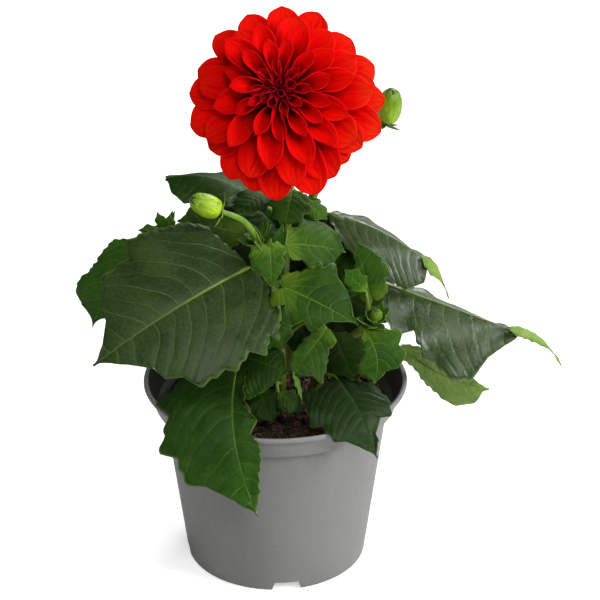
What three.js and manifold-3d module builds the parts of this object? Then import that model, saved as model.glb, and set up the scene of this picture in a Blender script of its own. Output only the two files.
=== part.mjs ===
// A potted dwarf dahlia: a round grower's pot of grey plastic, filled with peat, and a low
// bushy plant with one double red bloom, three green buds and broad toothed leaves.
// Millimetres, +Z up. The origin is the middle of the pot's underside, and the plant's
// front, where the bloom faces, is -Y.
import * as THREE from "three";
import { mergeVertices } from "three/addons/utils/BufferGeometryUtils.js";
import Module from "manifold-3d";

const wasm = await Module();
wasm.setup();

// Driving dimensions: the pot
const POT_HEIGHT = 89;
const FOOT_RADIUS = 41.6;
const WALL_TOP_RADIUS = 51.4;
const RIM_RADIUS = 60;
const COLLAR_DROP = 12.5;
const COLLAR_STEP = 3.4;
const LIP_HEIGHT = 2.2;
const LIP_GROOVE = 0.7;
const WALL = 1.2;
const FLOOR_LIFT = 4.6;
const PAD_RADIUS = 14;
const POT_SIDES = 28;
const NOTCH = { count: 4, width: 14, top: 11, height: 4.2, firstDegrees: -83 };
const DRAIN = { count: 6, radius: 3.2, ring: 28 };

// Driving dimensions: the soil, whose lumpy top lies a finger's breadth under the rim
const SOIL_LEVEL = 79;
const SOIL_LUMP = 1.6;
const SOIL_RINGS = 4;
const SOIL_SIDES = 20;
const CLEARANCE = 0.3;

// Driving dimensions: leaves, stems and petals
const LEAF_THICKNESS = 0.7;
const MIDRIB_DEPTH = 0.8;
const STEM_SIDES = 6;
const STALK_SIDES = 4;

// Driving dimensions: the bloom, which faces forward and up
const BLOOM_CENTRE = [5.2, -12, 223.4];
const BLOOM_AXIS = [-0.075, -0.854, 0.515];
const BLOOM_HEART = 8.5;
const PETAL_THICKNESS = 0.7;

const degrees = (angle) => (angle * Math.PI) / 180;
const mix = (a, b, t) => a + (b - a) * t;
const point = (p) => new THREE.Vector3(...p);

// A repeatable random draw between -1 and 1.
function makeDraw(seed) {
  let state = seed;
  return () => {
    state = (state * 1664525 + 1013904223) % 4294967296;
    return (state / 4294967296) * 2 - 1;
  };
}

// A closed mesh given as corners and triangles becomes a solid.
function solidFromCorners(corners, triangles) {
  return new wasm.Manifold(
    new wasm.Mesh({
      numProp: 3,
      vertProperties: new Float32Array(corners.flatMap((p) => [p.x, p.y, p.z])),
      triVerts: new Uint32Array(triangles.flat()),
    }),
  );
}

function solidFromGeometry(geometry) {
  geometry.deleteAttribute("normal");
  geometry.deleteAttribute("uv");
  const merged = mergeVertices(geometry, 1e-4);
  return new wasm.Manifold(
    new wasm.Mesh({
      numProp: 3,
      vertProperties: merged.attributes.position.array,
      triVerts: new Uint32Array(merged.index.array),
    }),
  );
}

function joined(solids) {
  return solids.reduce((sum, solid) => sum.add(solid));
}

function largestBody(solid) {
  const bodies = solid.decompose();
  return bodies.reduce((best, body) => (body.volume() > best.volume() ? body : best));
}

// A solid of revolution from a closed profile of [radius, height] pairs.
function turned(profile, sides) {
  const outline = profile.map(([r, z]) => new THREE.Vector2(r, z));
  const geometry = new THREE.LatheGeometry(outline, sides);
  geometry.rotateX(Math.PI / 2);
  const solid = solidFromGeometry(geometry);
  return solid.volume() > 0 ? solid : solidFromGeometry(flipped(geometry));
}

function flipped(geometry) {
  const index = geometry.index.array;
  for (let i = 0; i < index.length; i += 3) {
    [index[i + 1], index[i + 2]] = [index[i + 2], index[i + 1]];
  }
  return geometry;
}

// A round rod along a smooth curve through points, with a radius given at each point.
function rod(points, radii, sides, steps) {
  const curve = new THREE.CatmullRomCurve3(points.map(point), false, "centripetal");
  const frames = curve.computeFrenetFrames(steps, false);
  const corners = [];
  const triangles = [];
  for (let i = 0; i <= steps; i++) {
    const t = i / steps;
    const centre = curve.getPointAt(t);
    const place = curve.getUtoTmapping(t) * (points.length - 1);
    const before = Math.min(Math.floor(place), points.length - 2);
    const radius = mix(radii[before], radii[before + 1], place - before);
    for (let k = 0; k < sides; k++) {
      const turn = (2 * Math.PI * k) / sides;
      corners.push(
        centre
          .clone()
          .addScaledVector(frames.normals[i], radius * Math.cos(turn))
          .addScaledVector(frames.binormals[i], radius * Math.sin(turn)),
      );
    }
  }
  for (let i = 0; i < steps; i++) {
    for (let k = 0; k < sides; k++) {
      const a = i * sides + k;
      const b = i * sides + ((k + 1) % sides);
      triangles.push([a, b, b + sides], [a, b + sides, a + sides]);
    }
  }
  const last = steps * sides;
  for (let k = 1; k < sides - 1; k++) {
    triangles.push([0, k + 1, k], [last, last + k, last + k + 1]);
  }
  const solid = solidFromCorners(corners, triangles);
  if (solid.volume() > 0) return solid;
  return solidFromCorners(corners, triangles.map(([a, b, c]) => [a, c, b]));
}

// A thin blade over rows of points: both faces are split along the same diagonals, and
// the middle column is thicker underneath, as a midrib.
function blade(rows, thickness, ribDepth) {
  const across = rows[0].length;
  const middle = (across - 1) / 2;
  const normals = rows.map((row) => row.map(() => new THREE.Vector3()));
  const face = (i0, j0, i1, j1, i2, j2) => {
    const a = rows[i0][j0];
    const normal = rows[i1][j1].clone().sub(a).cross(rows[i2][j2].clone().sub(a));
    normals[i0][j0].add(normal);
    normals[i1][j1].add(normal);
    normals[i2][j2].add(normal);
  };
  const quads = [];
  for (let i = 0; i < rows.length - 1; i++) {
    for (let j = 0; j < across - 1; j++) {
      quads.push([i, j]);
      face(i, j, i, j + 1, i + 1, j + 1);
      face(i, j, i + 1, j + 1, i + 1, j);
    }
  }
  const corners = [];
  rows.forEach((row, i) =>
    row.forEach((centre, j) => {
      const normal = normals[i][j].normalize();
      const rib = j === middle ? ribDepth * (1 - i / (rows.length - 1)) : 0;
      corners.push(centre.clone().addScaledVector(normal, thickness / 2));
      corners.push(centre.clone().addScaledVector(normal, -thickness / 2 - rib));
    }),
  );
  const top = (i, j) => 2 * (i * across + j);
  const bottom = (i, j) => top(i, j) + 1;
  const triangles = [];
  for (const [i, j] of quads) {
    triangles.push([top(i, j), top(i, j + 1), top(i + 1, j + 1)]);
    triangles.push([top(i, j), top(i + 1, j + 1), top(i + 1, j)]);
    triangles.push([bottom(i, j), bottom(i + 1, j + 1), bottom(i, j + 1)]);
    triangles.push([bottom(i, j), bottom(i + 1, j), bottom(i + 1, j + 1)]);
  }
  const edge = (i0, j0, i1, j1) => {
    triangles.push([top(i0, j0), bottom(i0, j0), bottom(i1, j1)]);
    triangles.push([top(i0, j0), bottom(i1, j1), top(i1, j1)]);
  };
  const end = rows.length - 1;
  for (let j = 0; j < across - 1; j++) {
    edge(0, j, 0, j + 1);
    edge(end, j + 1, end, j);
  }
  for (let i = 0; i < end; i++) {
    edge(i + 1, 0, i, 0);
    edge(i, across - 1, i + 1, across - 1);
  }
  return solidFromCorners(corners, triangles);
}

// The half outline of a toothed leaf as [along, across] points from base to tip.
function toothedOutline(length, width, teeth, depth) {
  const outline = [[0, width * 0.12]];
  const swell = (u) => (Math.pow(u, 0.55) * Math.pow(1 - u, 0.85)) / 0.405;
  for (let k = 0; k < teeth; k++) {
    const peak = (k + 0.72) / (teeth + 0.35);
    const valley = (k + 1) / (teeth + 0.35);
    outline.push([length * Math.min(peak + 0.05, 0.97), width * swell(peak)]);
    outline.push([length * valley, width * swell(valley) * (1 - depth)]);
  }
  outline.push([length, 0.35]);
  return outline;
}

// The half outline of a petal: widest past its middle, with a round tip and a small point.
function petalOutline(length, width) {
  const open = [[0, 0.3], [0.36, 0.86], [0.66, 1], [0.88, 0.66], [1, 0.1]];
  const rolled = [[0, 0.36], [0.6, 1], [0.87, 0.7], [1, 0.12]];
  const shares = width > 8.5 ? open : rolled;
  return shares.map(([along, across]) => [length * along, width * across]);
}

// Where a point of a flat leaf comes to lie: the midrib is an arched curve from base to
// tip, and each side bends away from it by an angle that grows towards the edge.
function leafPlacer(leaf) {
  const base = point(leaf.base);
  const tip = point(leaf.tip);
  const chord = tip.clone().sub(base).normalize();
  const up = point(leaf.up);
  up.addScaledVector(chord, -up.dot(chord)).normalize();
  const side = chord.clone().cross(up);
  const middle = base
    .clone()
    .lerp(tip, 0.5)
    .addScaledVector(up, 2 * (leaf.bow ?? 0))
    .addScaledVector(side, 2 * (leaf.sway ?? 0));
  const midrib = new THREE.QuadraticBezierCurve3(base, middle, tip);
  const length = midrib.getLength();
  const [foldBase, foldTip] = leaf.fold ?? [8, 4];
  const [cupBase, cupTip] = leaf.cup ?? [-25, -25];
  return {
    length,
    midrib,
    place(along, across) {
      const u = THREE.MathUtils.clamp(along / length, 0, 1);
      const tangent = midrib.getTangent(u);
      const centre = midrib.getPoint(u).addScaledVector(tangent, along - u * length);
      const normal = up.clone().addScaledVector(tangent, -up.dot(tangent)).normalize();
      const right = tangent.clone().cross(normal);
      const share = Math.abs(across) / leaf.width;
      const hand = across < 0 ? -1 : 1;
      const bend = degrees(mix(cupBase, cupTip, u)) * share;
      const chordShare = Math.abs(bend) < 1e-4 ? 1 : Math.sin(bend / 2) / (bend / 2);
      const angle = degrees(mix(foldBase, foldTip, u)) + bend / 2;
      const reach = Math.abs(across) * chordShare;
      return centre
        .addScaledVector(right, hand * reach * Math.cos(angle))
        .addScaledVector(normal, reach * Math.sin(angle));
    },
  };
}

// The rows of points of a leaf, each running from the left edge over the midrib to the right.
function leafRows(leaf, columns) {
  const placer = leafPlacer(leaf);
  const { length } = placer;
  const outline = toothedOutline(length, leaf.width, leaf.teeth ?? 4, leaf.depth ?? 0.2);
  const left = leaf.left ?? outline;
  const right = leaf.right ?? outline;
  return left.map((leftPoint, k) => {
    const start = length * Math.pow(k / (left.length - 1), 1.15);
    const row = [];
    for (let j = -columns; j <= columns; j++) {
      const share = Math.abs(j) / columns;
      const [along, across] = j < 0 ? leftPoint : right[k];
      row.push(placer.place(mix(start, along, share), Math.sign(j) * share * across));
    }
    return row;
  });
}

// A leaf with its stalk, which runs on as the midrib.
function leafSolid(leaf) {
  const columns = leaf.columns ?? 2;
  const rows = leafRows(leaf, columns);
  const surface = blade(rows, LEAF_THICKNESS, MIDRIB_DEPTH);
  if (!leaf.stalk) return surface;
  const placer = leafPlacer(leaf);
  const inside = placer.midrib.getTangent(0).multiplyScalar(placer.length * 0.16);
  const into = placer.midrib.getPoint(0).add(inside);
  const thick = leaf.stalkRadius ?? 1.3;
  const points = [...leaf.stalk, leaf.base, into.toArray()];
  const radii = points.map((_, i) => mix(thick, 0.75, i / (points.length - 1)));
  const stalk = rod(points, radii, STALK_SIDES, points.length + 1);
  return joined([surface, stalk, ...(leaf.leaflets ?? []).map(leafSolid)]);
}

const root = new THREE.Group();
const finishes = {
  pot: new THREE.MeshStandardMaterial({ color: 0x7e7f7e, roughness: 0.55 }),
  soil: new THREE.MeshStandardMaterial({ color: 0x2b1c14, roughness: 1 }),
  stem: new THREE.MeshStandardMaterial({ color: 0x4f6b2a, roughness: 0.6 }),
  leaf: new THREE.MeshStandardMaterial({ color: 0x3d5a2e, roughness: 0.5 }),
  petal: new THREE.MeshStandardMaterial({ color: 0xc40c08, roughness: 0.55 }),
  bud: new THREE.MeshStandardMaterial({ color: 0x9cb32c, roughness: 0.5 }),
};

const solids = new Map();

// Adds a solid to the model as a named mesh with a finish of its own.
function addPiece(name, solid, finish) {
  solids.set(name, solid);
  const mesh = solid.getMesh();
  const geometry = new THREE.BufferGeometry();
  geometry.setAttribute("position", new THREE.BufferAttribute(mesh.vertProperties, 3));
  geometry.setIndex(new THREE.BufferAttribute(mesh.triVerts, 1));
  geometry.computeVertexNormals();
  const piece = new THREE.Mesh(geometry, finishes[finish].clone());
  piece.name = name;
  root.add(piece);
}

// The pot: a thin turned shell on a low foot ring with notches, its raised floor dished
// down to a flat pad in the middle, with a stepped collar under a rounded lip.
const COLLAR_BOTTOM = POT_HEIGHT - COLLAR_DROP;
const COLLAR_RADIUS = WALL_TOP_RADIUS + COLLAR_STEP;
const outerWall = (z) => mix(FOOT_RADIUS, WALL_TOP_RADIUS, z / COLLAR_BOTTOM);
const innerWall = (z) => outerWall(z) - WALL;

function potSolid() {
  const floorTop = FLOOR_LIFT + WALL;
  const underLip = POT_HEIGHT - LIP_HEIGHT;
  const profile = [
    [0, 0],
    [PAD_RADIUS, 0],
    [PAD_RADIUS + 4, FLOOR_LIFT],
    [FOOT_RADIUS - 2 * WALL, FLOOR_LIFT],
    [FOOT_RADIUS - 1.5 * WALL, 0],
    [FOOT_RADIUS, 0],
    [WALL_TOP_RADIUS, COLLAR_BOTTOM],
    [COLLAR_RADIUS, COLLAR_BOTTOM + 0.3],
    [RIM_RADIUS - 1 - LIP_GROOVE, underLip - 0.5],
    [RIM_RADIUS, underLip],
    [RIM_RADIUS, POT_HEIGHT - 0.7],
    [RIM_RADIUS - 0.8, POT_HEIGHT],
    [RIM_RADIUS - 2.2, POT_HEIGHT - 0.7],
    [COLLAR_RADIUS - WALL, COLLAR_BOTTOM + 1.5],
    [innerWall(COLLAR_BOTTOM - 1), COLLAR_BOTTOM - 1],
    [innerWall(floorTop), floorTop],
    [PAD_RADIUS + 3.2, floorTop],
    [PAD_RADIUS - 0.8, WALL],
    [0, WALL],
  ];
  let pot = turned(profile, POT_SIDES);
  const slant = (NOTCH.width - NOTCH.top) / 2;
  const notchShape = new THREE.Shape([
    new THREE.Vector2(-NOTCH.width / 2, -1),
    new THREE.Vector2(NOTCH.width / 2, -1),
    new THREE.Vector2(NOTCH.width / 2 - slant, NOTCH.height),
    new THREE.Vector2(-NOTCH.width / 2 + slant, NOTCH.height),
  ]);
  for (let k = 0; k < NOTCH.count; k++) {
    const cutter = new THREE.ExtrudeGeometry(notchShape, { depth: 8, bevelEnabled: false });
    cutter.rotateX(Math.PI / 2);
    cutter.rotateZ(degrees(90));
    cutter.translate(FOOT_RADIUS - 3, 0, 0);
    cutter.rotateZ(degrees(NOTCH.firstDegrees + (360 * k) / NOTCH.count));
    pot = pot.subtract(solidFromGeometry(cutter));
  }
  for (let k = 0; k < DRAIN.count; k++) {
    const drill = new THREE.CylinderGeometry(DRAIN.radius, DRAIN.radius, 4 * WALL, 6);
    drill.rotateX(Math.PI / 2);
    drill.translate(DRAIN.ring, 0, FLOOR_LIFT + WALL / 2);
    drill.rotateZ(degrees((360 * (k + 0.5)) / DRAIN.count));
    pot = pot.subtract(solidFromGeometry(drill));
  }
  return pot;
}

addPiece("pot", potSolid(), "pot");

// The stems rise from their own holes in the soil. Each carries small leaves, and the tufts
// of young leaves at the shoot tips, which grow from it in one piece.
const stems = {
  leafy_stem_main: {
    points: [[2, 6, 46], [2, 6, 82], [3, 8, 120], [5, 11, 160], [7.5, 13, 190], [7.4, 8, 208],
      [6.07, -2.1, 217.45]],
    radii: [3.4, 3.2, 2.8, 2.5, 2.2, 2.1, 2.1],
    leaves: [
      { base: [12, -1, 182], tip: [9, -16, 171.5], up: [0, -0.6, 0.8], bow: 2, width: 11,
        teeth: 3, stalk: [[7, 12, 184], [9, 6, 185]] },
      { base: [14, 2, 176], tip: [24, -4, 170], up: [0.3, -0.5, 0.8], bow: 1, width: 6,
        teeth: 2, stalk: [[6.5, 12, 178]] },
      { base: [-4, 4, 176], tip: [-16, -8, 172], up: [-0.1, -0.5, 0.9], bow: 2, width: 9,
        teeth: 3, stalk: [[6, 11.5, 170], [1, 8, 175]] },
    ],
    tufts: [],
  },
  leafy_stem_left: {
    points: [[-9, 0, 48], [-10, -2, 82], [-10.5, -6, 112], [-8.5, -11, 140], [-6.5, -16, 160],
      [-13, -21, 174], [-22.4, -26.9, 181.3]],
    radii: [2.7, 2.6, 2.3, 2, 1.8, 1.4, 1.1],
    leaves: [
      { base: [-13, -9, 163], tip: [-42, -11, 170], up: [0, -0.6, 0.8], bow: 1, width: 14,
        teeth: 3, stalk: [[-7, -15, 156], [-9, -11, 161]] },
    ],
    tufts: [
      { at: [-6.5, -16, 161], axis: [-0.5, -0.6, 0.8], count: 4, length: 9, width: 2.2,
        spread: 50, seed: 3 },
      { at: [-22.3, -26.8, 181.2], axis: [-12.2, -3, 6.8], count: 5, length: 7, width: 1.1,
        spread: 82, inner: 1, seed: 4 },
    ],
  },
  leafy_stem_far_left: {
    points: [[-15, 6, 50], [-17, 6, 82], [-30, 2, 118], [-42, -4, 146], [-47, -9, 162]],
    radii: [2, 2, 1.7, 1.4, 1.1],
    leaves: [
      { base: [-47, -10, 163], tip: [-59, -12, 166], up: [0, -0.6, 0.8], bow: 1, width: 4,
        teeth: 2, stalk: [[-46.5, -8.5, 160]], stalkRadius: 0.8 },
    ],
    tufts: [{ at: [-47.5, -9, 162.5], axis: [-0.3, -0.1, 1], count: 5, length: 10, width: 2.6,
      spread: 66, seed: 5 }],
  },
  leafy_stem_right: {
    points: [[14, 0, 48], [17, -2, 82], [27, -8, 104], [38, -13, 118], [44, -18, 125]],
    radii: [2.6, 2.5, 2.1, 1.8, 1.6],
    leaves: [
      { base: [42.5, -13, 134], tip: [36, -14, 161], up: [0, -0.95, 0.2], bow: 2, width: 10,
        left: [[-3, 2], [3, 4], [7, 5], [11, 5], [15, 4], [19, 3], [24, 2], [29, 0.4]],
        right: [[-3, 3], [2, 8], [9, 8], [11, 11], [16, 9], [20, 8], [25, 4], [29, 0.4]],
        stalk: [[39, -13.5, 119], [41, -12, 126]] },
      { base: [40, -18, 140], tip: [30.5, -20, 151], up: [0, -0.9, 0.4], bow: 1, width: 5,
        teeth: 2, stalk: [[40, -14.5, 120], [41, -15.5, 131]] },
      { base: [39, -23, 123], tip: [44, -36, 104], up: [0, -0.8, 0.6], bow: 3, sway: -3,
        width: 13, stalk: [[37, -12.5, 117], [38, -18, 122]],
        left: [[1, 2], [5, 9], [8, 14], [11, 11], [15, 13], [19, 9], [20, 4], [26, 0.4]],
        right: [[1, 1], [4, 3], [9, 5], [10, 4], [15, 7], [23, 8], [23, 5], [26, 0.4]] },
    ],
    tufts: [{ at: [44, -18, 124.5], axis: [0.1, -0.5, 0.9], count: 5, length: 11, width: 2.6,
      spread: 52, inner: 1, seed: 11 }],
  },
  leafy_stem_back: {
    points: [[4, 19, 48], [5, 23, 82], [9, 26, 120], [15, 25, 160], [26, 23, 187], [38, 21, 200],
      [48.6, 20.2, 203.4]],
    radii: [2.7, 2.6, 2.4, 2.1, 1.6, 1.3, 1.2],
    leaves: [
      { base: [20, 34, 150], tip: [30, 52, 142], up: [0, 0.2, 1], bow: 3, width: 9,
        teeth: 3, stalk: [[13, 25, 141], [17, 29, 149]] },
    ],
    tufts: [
      { at: [10, 25.8, 126], axis: [0.6, 0.8, 0.5], count: 4, length: 12, width: 3, spread: 50,
        seed: 17 },
      { at: [48.5, 20.2, 203.2], axis: [0.16, -0.05, 1], count: 4, length: 8, width: 1.4,
        spread: 100, inner: 1, seed: 8 },
    ],
  },
  leafy_stem_front: {
    points: [[3, -11, 48], [3, -14, 82], [2.5, -19, 112], [1, -25, 136], [-1.5, -28.5, 160]],
    radii: [2.3, 2.2, 2, 1.7, 1.2],
    leaves: [
      { base: [-1.5, -33, 168], tip: [-0.5, -41, 150], up: [0, -0.85, 0.5], bow: 1.5, width: 9,
        left: [[-2, 3], [3, 7], [5, 5], [8, 6], [13, 3], [19, 0.4]],
        right: [[-2, 5], [1, 8], [5, 9], [9, 7], [14, 3], [19, 0.4]],
        stalk: [[-1, -28.2, 158], [-1.5, -31, 166]] },
      { base: [5, -25, 165], tip: [31, -15, 157], up: [0, -0.6, 0.8], bow: 2, width: 14,
        left: [[0, 4], [3, 9], [6, 8], [11, 14], [15, 13], [22, 14], [25, 9], [29, 0.4]],
        right: [[0, 4], [3, 8], [6, 7], [11, 11], [14, 9], [20, 10], [23, 5], [29, 0.4]],
        stalk: [[-1, -28, 156]] },
      { base: [4.5, -35, 149.5], tip: [36, -43, 135.5], up: [0.1, -0.8, 0.6], bow: 3, width: 18,
        left: [[-4, 4], [3, 9], [9, 17], [11, 15], [15, 20], [19, 14], [26, 10], [36, 0.4]],
        right: [[-4, 5], [-1, 10], [4, 7], [11, 14], [14, 10], [20, 12], [24, 5], [36, 0.4]],
        stalk: [[1, -26.8, 146], [3, -31, 150.5]] },
      { base: [23, -31, 128], tip: [9, -46, 114], up: [0, -0.75, 0.65], bow: 2, width: 12,
        left: [[0, 2], [4, 7], [8, 6], [14, 9], [23, 12], [22, 7], [25, 3], [27, 0.4]],
        right: [[0, 1], [4, 3], [8, 4], [12, 5], [16, 5], [20, 5], [24, 3], [27, 0.4]],
        stalk: [[2.2, -20, 116], [14, -23, 127]] },
      { base: [2, -36, 99], tip: [12, -42, 93], up: [0, -0.5, 0.8], bow: 1, width: 6,
        teeth: 2, stalk: [[3, -16, 93], [1, -28, 99]] },
    ],
    tufts: [{ at: [-1.5, -28.5, 159], axis: [0.2, 0, 1], count: 6, length: 15, width: 3,
      spread: 50, seed: 23 }],
  },
};

function stemCore(stem, extra) {
  const radii = stem.radii.map((r) => r + extra);
  return rod(stem.points, radii, STEM_SIDES, stem.points.length + 3);
}

// A tuft of narrow young leaves that spread from one point round an axis.
function tuftSolids(tuft) {
  const draw = makeDraw(tuft.seed);
  const axis = point(tuft.axis).normalize();
  const aside = new THREE.Vector3(1, 0, 0).cross(axis).normalize();
  const centre = point(tuft.at);
  const solids = [];
  for (let k = 0; k < tuft.count; k++) {
    const heading = aside.clone().applyAxisAngle(axis, (k + 0.3 * draw()) * degrees(137.5));
    const inner = tuft.inner ?? 0.55;
    const lean = degrees(tuft.spread * mix(inner, 1, k / tuft.count));
    const way = axis.clone().multiplyScalar(Math.cos(lean)).addScaledVector(heading, Math.sin(lean));
    const up = axis.clone().multiplyScalar(Math.sin(lean)).addScaledVector(heading, -Math.cos(lean));
    const length = tuft.length * (1 + 0.2 * draw());
    const base = centre.clone().addScaledVector(way, 0.4);
    const tip = centre.clone().addScaledVector(way, length);
    const outline = [[0, tuft.width * 0.4], [length * 0.45, tuft.width], [length, 0.3]];
    solids.push(
      leafSolid({
        base: base.toArray(), tip: tip.toArray(), up: up.toArray(), bow: -length * 0.06,
        width: tuft.width, left: outline, right: outline, fold: [14, 10], cup: [0, 0], columns: 1,
      }),
    );
  }
  return solids;
}

function stemSolid(stem) {
  return joined([
    stemCore(stem, 0),
    ...stem.leaves.map((leaf) => leafSolid({ columns: 1, stalkRadius: 1, ...leaf })),
    ...stem.tufts.flatMap(tuftSolids),
  ]);
}

const stemSpace = joined(Object.values(stems).map((stem) => stemCore(stem, CLEARANCE)));
for (const [name, stem] of Object.entries(stems)) {
  addPiece(name, stemSolid(stem), "stem");
}

// The soil fills the pot to its level, clear of the wall and the stems.
function soilSolid() {
  const draw = makeDraw(7);
  const floor = FLOOR_LIFT + WALL + CLEARANCE;
  const corners = [];
  const triangles = [];
  const ring = (radius, height) => {
    const first = corners.length;
    for (let k = 0; k < SOIL_SIDES; k++) {
      const turn = (2 * Math.PI * k) / SOIL_SIDES;
      corners.push(
        new THREE.Vector3(radius * Math.cos(turn), radius * Math.sin(turn), height()),
      );
    }
    return first;
  };
  const band = (lower, upper) => {
    for (let k = 0; k < SOIL_SIDES; k++) {
      const next = (k + 1) % SOIL_SIDES;
      triangles.push([lower + k, lower + next, upper + next]);
      triangles.push([lower + k, upper + next, upper + k]);
    }
  };
  const cap = (first, centre, up) => {
    for (let k = 0; k < SOIL_SIDES; k++) {
      const next = (k + 1) % SOIL_SIDES;
      triangles.push(up ? [first + k, first + next, centre] : [first + next, first + k, centre]);
    }
  };
  const facet = Math.cos(Math.PI / POT_SIDES);
  const bottom = ring(innerWall(floor) * facet - 2 * CLEARANCE, () => floor);
  let lower = ring(innerWall(SOIL_LEVEL - 4) * facet - 2 * CLEARANCE, () => SOIL_LEVEL - 4);
  band(bottom, lower);
  const edge = innerWall(SOIL_LEVEL - 4) * facet - 2 * CLEARANCE;
  for (let k = 0; k < SOIL_RINGS; k++) {
    const radius = edge * (1 - (k + 0.15) / SOIL_RINGS);
    const upper = ring(radius, () => SOIL_LEVEL + SOIL_LUMP * draw() + (k > 2 ? 1 : 0));
    band(lower, upper);
    lower = upper;
  }
  corners.push(new THREE.Vector3(0, 0, SOIL_LEVEL + 1));
  cap(lower, corners.length - 1, true);
  corners.push(new THREE.Vector3(0, 0, floor));
  cap(bottom, corners.length - 1, false);
  return solidFromCorners(corners, triangles);
}

addPiece("soil", soilSolid().subtract(stemSpace), "soil");

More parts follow.
